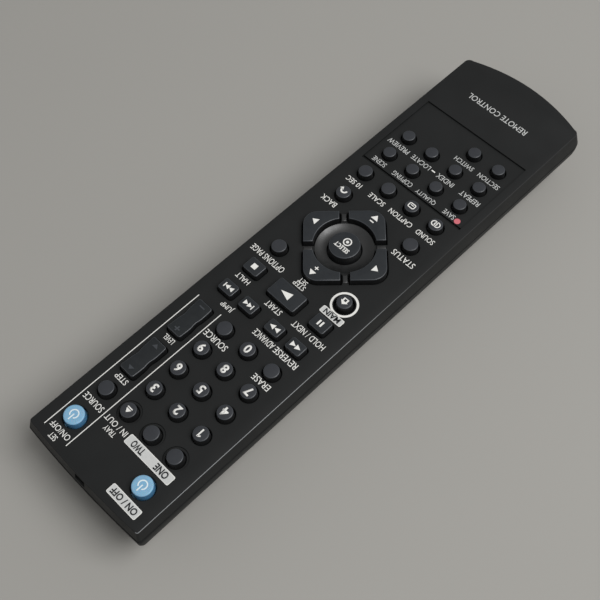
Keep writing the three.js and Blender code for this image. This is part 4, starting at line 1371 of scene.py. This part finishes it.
def key_print(name, *shapes, ink="screen_ink_white", about=None):
    """Print on top of a key, in millimetres from its middle or from the middle of another key."""
    shape = merged(*shapes)
    bmesh.ops.translate(shape, verts=shape.verts, vec=(*middle(about or name), 0))
    raised = name in ROCKERS
    flat_solid(shape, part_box(name)[1].z, print_sizes().emboss if raised else print_sizes().ink)
    if raised:
        for vert in shape.verts:
            vert.co.z -= sag(name, vert.co.y)
    piece(name + "_print", shape, name, bpy.data.materials[ink])


def skip_mark(turn, barred):
    """Two triangles in a row, with a bar at their point on the skip keys."""
    way = math.cos(math.radians(turn))
    if not barred:
        return [triangle(way * spot, 0, 1.8, 1.8, turn) for spot in (-0.95, 0.95)]
    arrows = [triangle(way * spot, 0, 1.55, 1.7, turn) for spot in (-1.1, 0.5)]
    return [*arrows, bar(way * 1.5, 0, 0.34, 1.7)]


class REMOTE_OT_key_print(bpy.types.Operator):
    """Prints the digits and the plain signs on the keys"""

    bl_idname = "remote.key_print"
    bl_label = "Print on the keys"

    def execute(self, context):
        for number, name in enumerate(DIGITS):
            if number != 1:
                key_print(name, lettering(str(number), -1.1, 1.1, -1.5, 1.5, 0.03, 1.0))
        key_print("digit_1_key", bar(0.2, 0, 0.48, 2.8), bar(-0.28, 0.98, 0.95, 0.42, 38))
        screen_ink("on_blue", finishes().power_ink)
        for name in ("power_key", "tv_power_key"):
            sign = ring(0, -0.2, 1.5, 0.38, 122, 296), bar(0, 0.95, 0.38, 2.3)
            key_print(name, *sign, ink="screen_ink_on_blue")
        for kind, barred in (("seek", False), ("skip", True)):
            key_print(kind + "_back_key", *skip_mark(180, barred))
            key_print(kind + "_forward_key", *skip_mark(0, barred))
        key_print("pause_key", bar(-0.58, 0, 0.6, 1.95), bar(0.58, 0, 0.6, 1.95))
        key_print("play_key", triangle(0.4, 0.1, 3.9, 2.7))
        key_print("stop_key", bar(0, 0, 1.8, 1.8))
        key_print("eject_key", triangle(0, 0.35, 1.3, 1.95, 90), bar(0, -0.75, 1.95, 0.34))
        walls = bar(-0.68, -0.6, 0.5, 1.2), bar(0.68, -0.6, 0.5, 1.2), bar(0, -1.05, 0.9, 0.3)
        key_print("home_key", triangle(0, 0.6, 1.2, 2.8, 90), *walls)
        hook = ring(0.15, -0.55, 1.3, 0.55, -5, 190)
        key_print("return_key", hook, triangle(1.2, -0.95, 1.0, 1.55, 262))
        key_print("audio_key", ring(-0.5, 0, 1.1, 0.35), ring(0.6, 0, 1.1, 0.35))
        key_print("subtitle_key", outlined_box(2.6, 2, 0.6, 0.34), bar(0, -0.2, 1.2, 0.3))
        word = lettering("SELECT", -2.8, 2.8, 0.5, 2.2, 0.035)
        key_print("enter_key", ring(0, -1.3, 1.45, 0.4), dot(0, -1.3, 0.5), word)
        plus = bar(0.1, 12.2, 1.4, 0.34), bar(0.1, 12.62, 0.34, 0.5), bar(0.1, 11.78, 0.34, 0.5)
        minus = bar(0, -12.2, 1.5, 0.42)
        for name, *sign in (
            ("up_key", triangle(0.2, 14.4, 1.7, 2.5, 90), *plus),
            ("down_key", triangle(0, -14.2, 1.9, 2.7, 270), minus),
            ("left_key", triangle(-13.2, -0.1, 1.9, 2.5, 180)),
            ("right_key", triangle(13.2, -0.1, 1.9, 2.5, 0)),
        ):
            key_print(name, *sign, about="enter_key")
        plus = bar(0, 5, 2.1, 0.45), bar(0, 5.6, 0.45, 0.75), bar(0, 4.4, 0.45, 0.75)
        minus = bar(0, -5, 2.1, 0.45)
        arrows = triangle(0, 5, 1.3, 2.2, 90), triangle(0, -5, 1.3, 2.2, 270)
        for name, sign in (("channel_rocker", arrows), ("volume_rocker", (*plus, minus))):
            # The raised signs take the lighter edge tone, a painted highlight.
            key_print(name, *sign, ink="silicone_rubber_painted_edge_highlight")
        return {"FINISHED"}


# Inside


def cell_shape(name):
    """A cell on its side with a rounded can and a raised cap. The two cells lie opposite ways."""
    cell = bpy.context.scene.remote_cells
    low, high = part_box(name)
    radius, round_off = (high.z - low.z) / 2, 2 * cell.edge
    tip, foot, way = (high.y, low.y, 1) if name == "battery_left" else (low.y, high.y, -1)
    profile = [
        (0, 0), (cell.cap - cell.edge, 0), (cell.cap, cell.edge), (cell.cap, cell.rise),
        (radius - round_off, cell.rise), (radius, cell.rise + round_off),
    ]
    profile = [(out, tip - way * back) for out, back in profile]
    profile += [(radius, foot + way * round_off), (radius - round_off, foot), (0, foot)]
    shape = spun(profile, (0, 0))
    place = Matrix.Translation(((low.x + high.x) / 2, 0, (low.z + high.z) / 2))
    lay = place @ Matrix.Rotation(math.radians(-90), 4, "X")
    bmesh.ops.transform(shape, matrix=lay, verts=shape.verts)
    return shape


class REMOTE_OT_inside(bpy.types.Operator):
    """Finishes what the open battery bay shows: cells, contacts, board, mat and diode"""

    bl_idname = "remote.inside"
    bl_label = "Inside"

    def execute(self, context):
        jacket, steel = cell_jacket(), plated_steel()
        for name in CELLS:
            made = smoothed(piece(name + "_can", cell_shape(name), "case", jacket, steel), 40)
            low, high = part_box(name)
            bare = (high.z - low.z) / 2 - context.scene.remote_cells.edge
            axis = (middle(name)[0], (low.z + high.z) / 2)
            for face in made.data.polygons:
                if math.dist(face.center.xz, axis) < bare:
                    face.material_index = 1
            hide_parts(name)
        for name, material in (
            ("contact_bridge", steel),
            ("contact_spring", steel),
            ("circuit_board", laminate()),
            ("key_mat", grey_silicone()),
            ("infra_red_led", diode_resin()),
        ):
            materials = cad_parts[name].data.materials
            materials.clear()
            materials.append(material)
        return {"FINISHED"}


# Stage


class REMOTE_OT_stage(bpy.types.Operator):
    """Sets the floor, the soft lamps and the camera"""

    bl_idname = "remote.stage"
    bl_label = "Stage"

    def execute(self, context):
        scene = context.scene
        shape = bmesh.new()
        bmesh.ops.create_grid(shape, x_segments=1, y_segments=1, size=6)
        piece("floor", shape, None, matt_paint())
        scene.view_settings.view_transform = "Standard"
        world = bpy.data.worlds.new("soft_room")
        world.use_nodes = True
        inputs = world.node_tree.nodes["Background"].inputs
        inputs["Color"].default_value = (1, 1, 1, 1)
        inputs["Strength"].default_value = 0.3
        scene.world = world
        for name, place, power, size in (
            ("window_lamp", (-0.66, -0.26, 1.07), 13.8, 0.8),
            ("fill_lamp", (0.25, 0.85, 0.8), 0.4, 0.9),
        ):
            lamp = bpy.data.lights.new(name, "AREA")
            lamp.energy, lamp.size = power, size
            made = bpy.data.objects.new(name, lamp)
            made.location = place
            made.rotation_euler = (-Vector(place)).to_track_quat("-Z", "Y").to_euler()
            scene.collection.objects.link(made)
        camera = bpy.data.cameras.new("camera")
        camera.sensor_width, camera.lens, camera.clip_start = 36, 63.0, 0.01
        made = bpy.data.objects.new("camera", camera)
        made.location = (-0.123647, 0.122076, 0.296676)
        turn = [math.radians(angle) for angle in (30.2269, 1.77834, -134.63)]
        made.rotation_euler = Euler(turn)
        scene.collection.objects.link(made)
        scene.camera = made
        return {"FINISHED"}


class REMOTE_PT_sidebar(bpy.types.Panel):
    """Lists the steps and every size and colour"""

    bl_idname = "REMOTE_PT_sidebar"
    bl_label = "Remote control"
    bl_space_type = "VIEW_3D"
    bl_region_type = "UI"
    bl_category = "Remote"

    def draw(self, context):
        for operator in STEPS:
            self.layout.operator(operator.bl_idname)
        for name in GROUPS:
            group = getattr(context.scene, name)
            box = self.layout.box()
            for prop in group.bl_rna.properties:
                if prop.identifier not in {"rna_type", "name"}:
                    box.prop(group, prop.identifier)


GROUPS = {
    "remote_case": CaseSizes,
    "remote_door": DoorSizes,
    "remote_keys": KeySizes,
    "remote_print": PrintSizes,
    "remote_cells": CellSizes,
    "remote_finishes": Finishes,
}
STEPS = (
    REMOTE_OT_top_case,
    REMOTE_OT_bottom_case,
    REMOTE_OT_battery_door,
    REMOTE_OT_round_keys,
    REMOTE_OT_bar_keys,
    REMOTE_OT_pads,
    REMOTE_OT_deck_print,
    REMOTE_OT_key_print,
    REMOTE_OT_inside,
    REMOTE_OT_stage,
)
CLASSES = (*GROUPS.values(), *STEPS, REMOTE_PT_sidebar)


def register():
    for group in CLASSES:
        bpy.utils.register_class(group)
    for name, group in GROUPS.items():
        setattr(bpy.types.Scene, name, PointerProperty(type=group))


def unregister():
    for name in GROUPS:
        delattr(bpy.types.Scene, name)
    for group in reversed(CLASSES):
        bpy.utils.unregister_class(group)


def main():
    register()
    for operator in STEPS:
        name = operator.bl_idname.split(".")[1]
        getattr(bpy.ops.remote, name)()


if __name__ == "__main__":
    main()
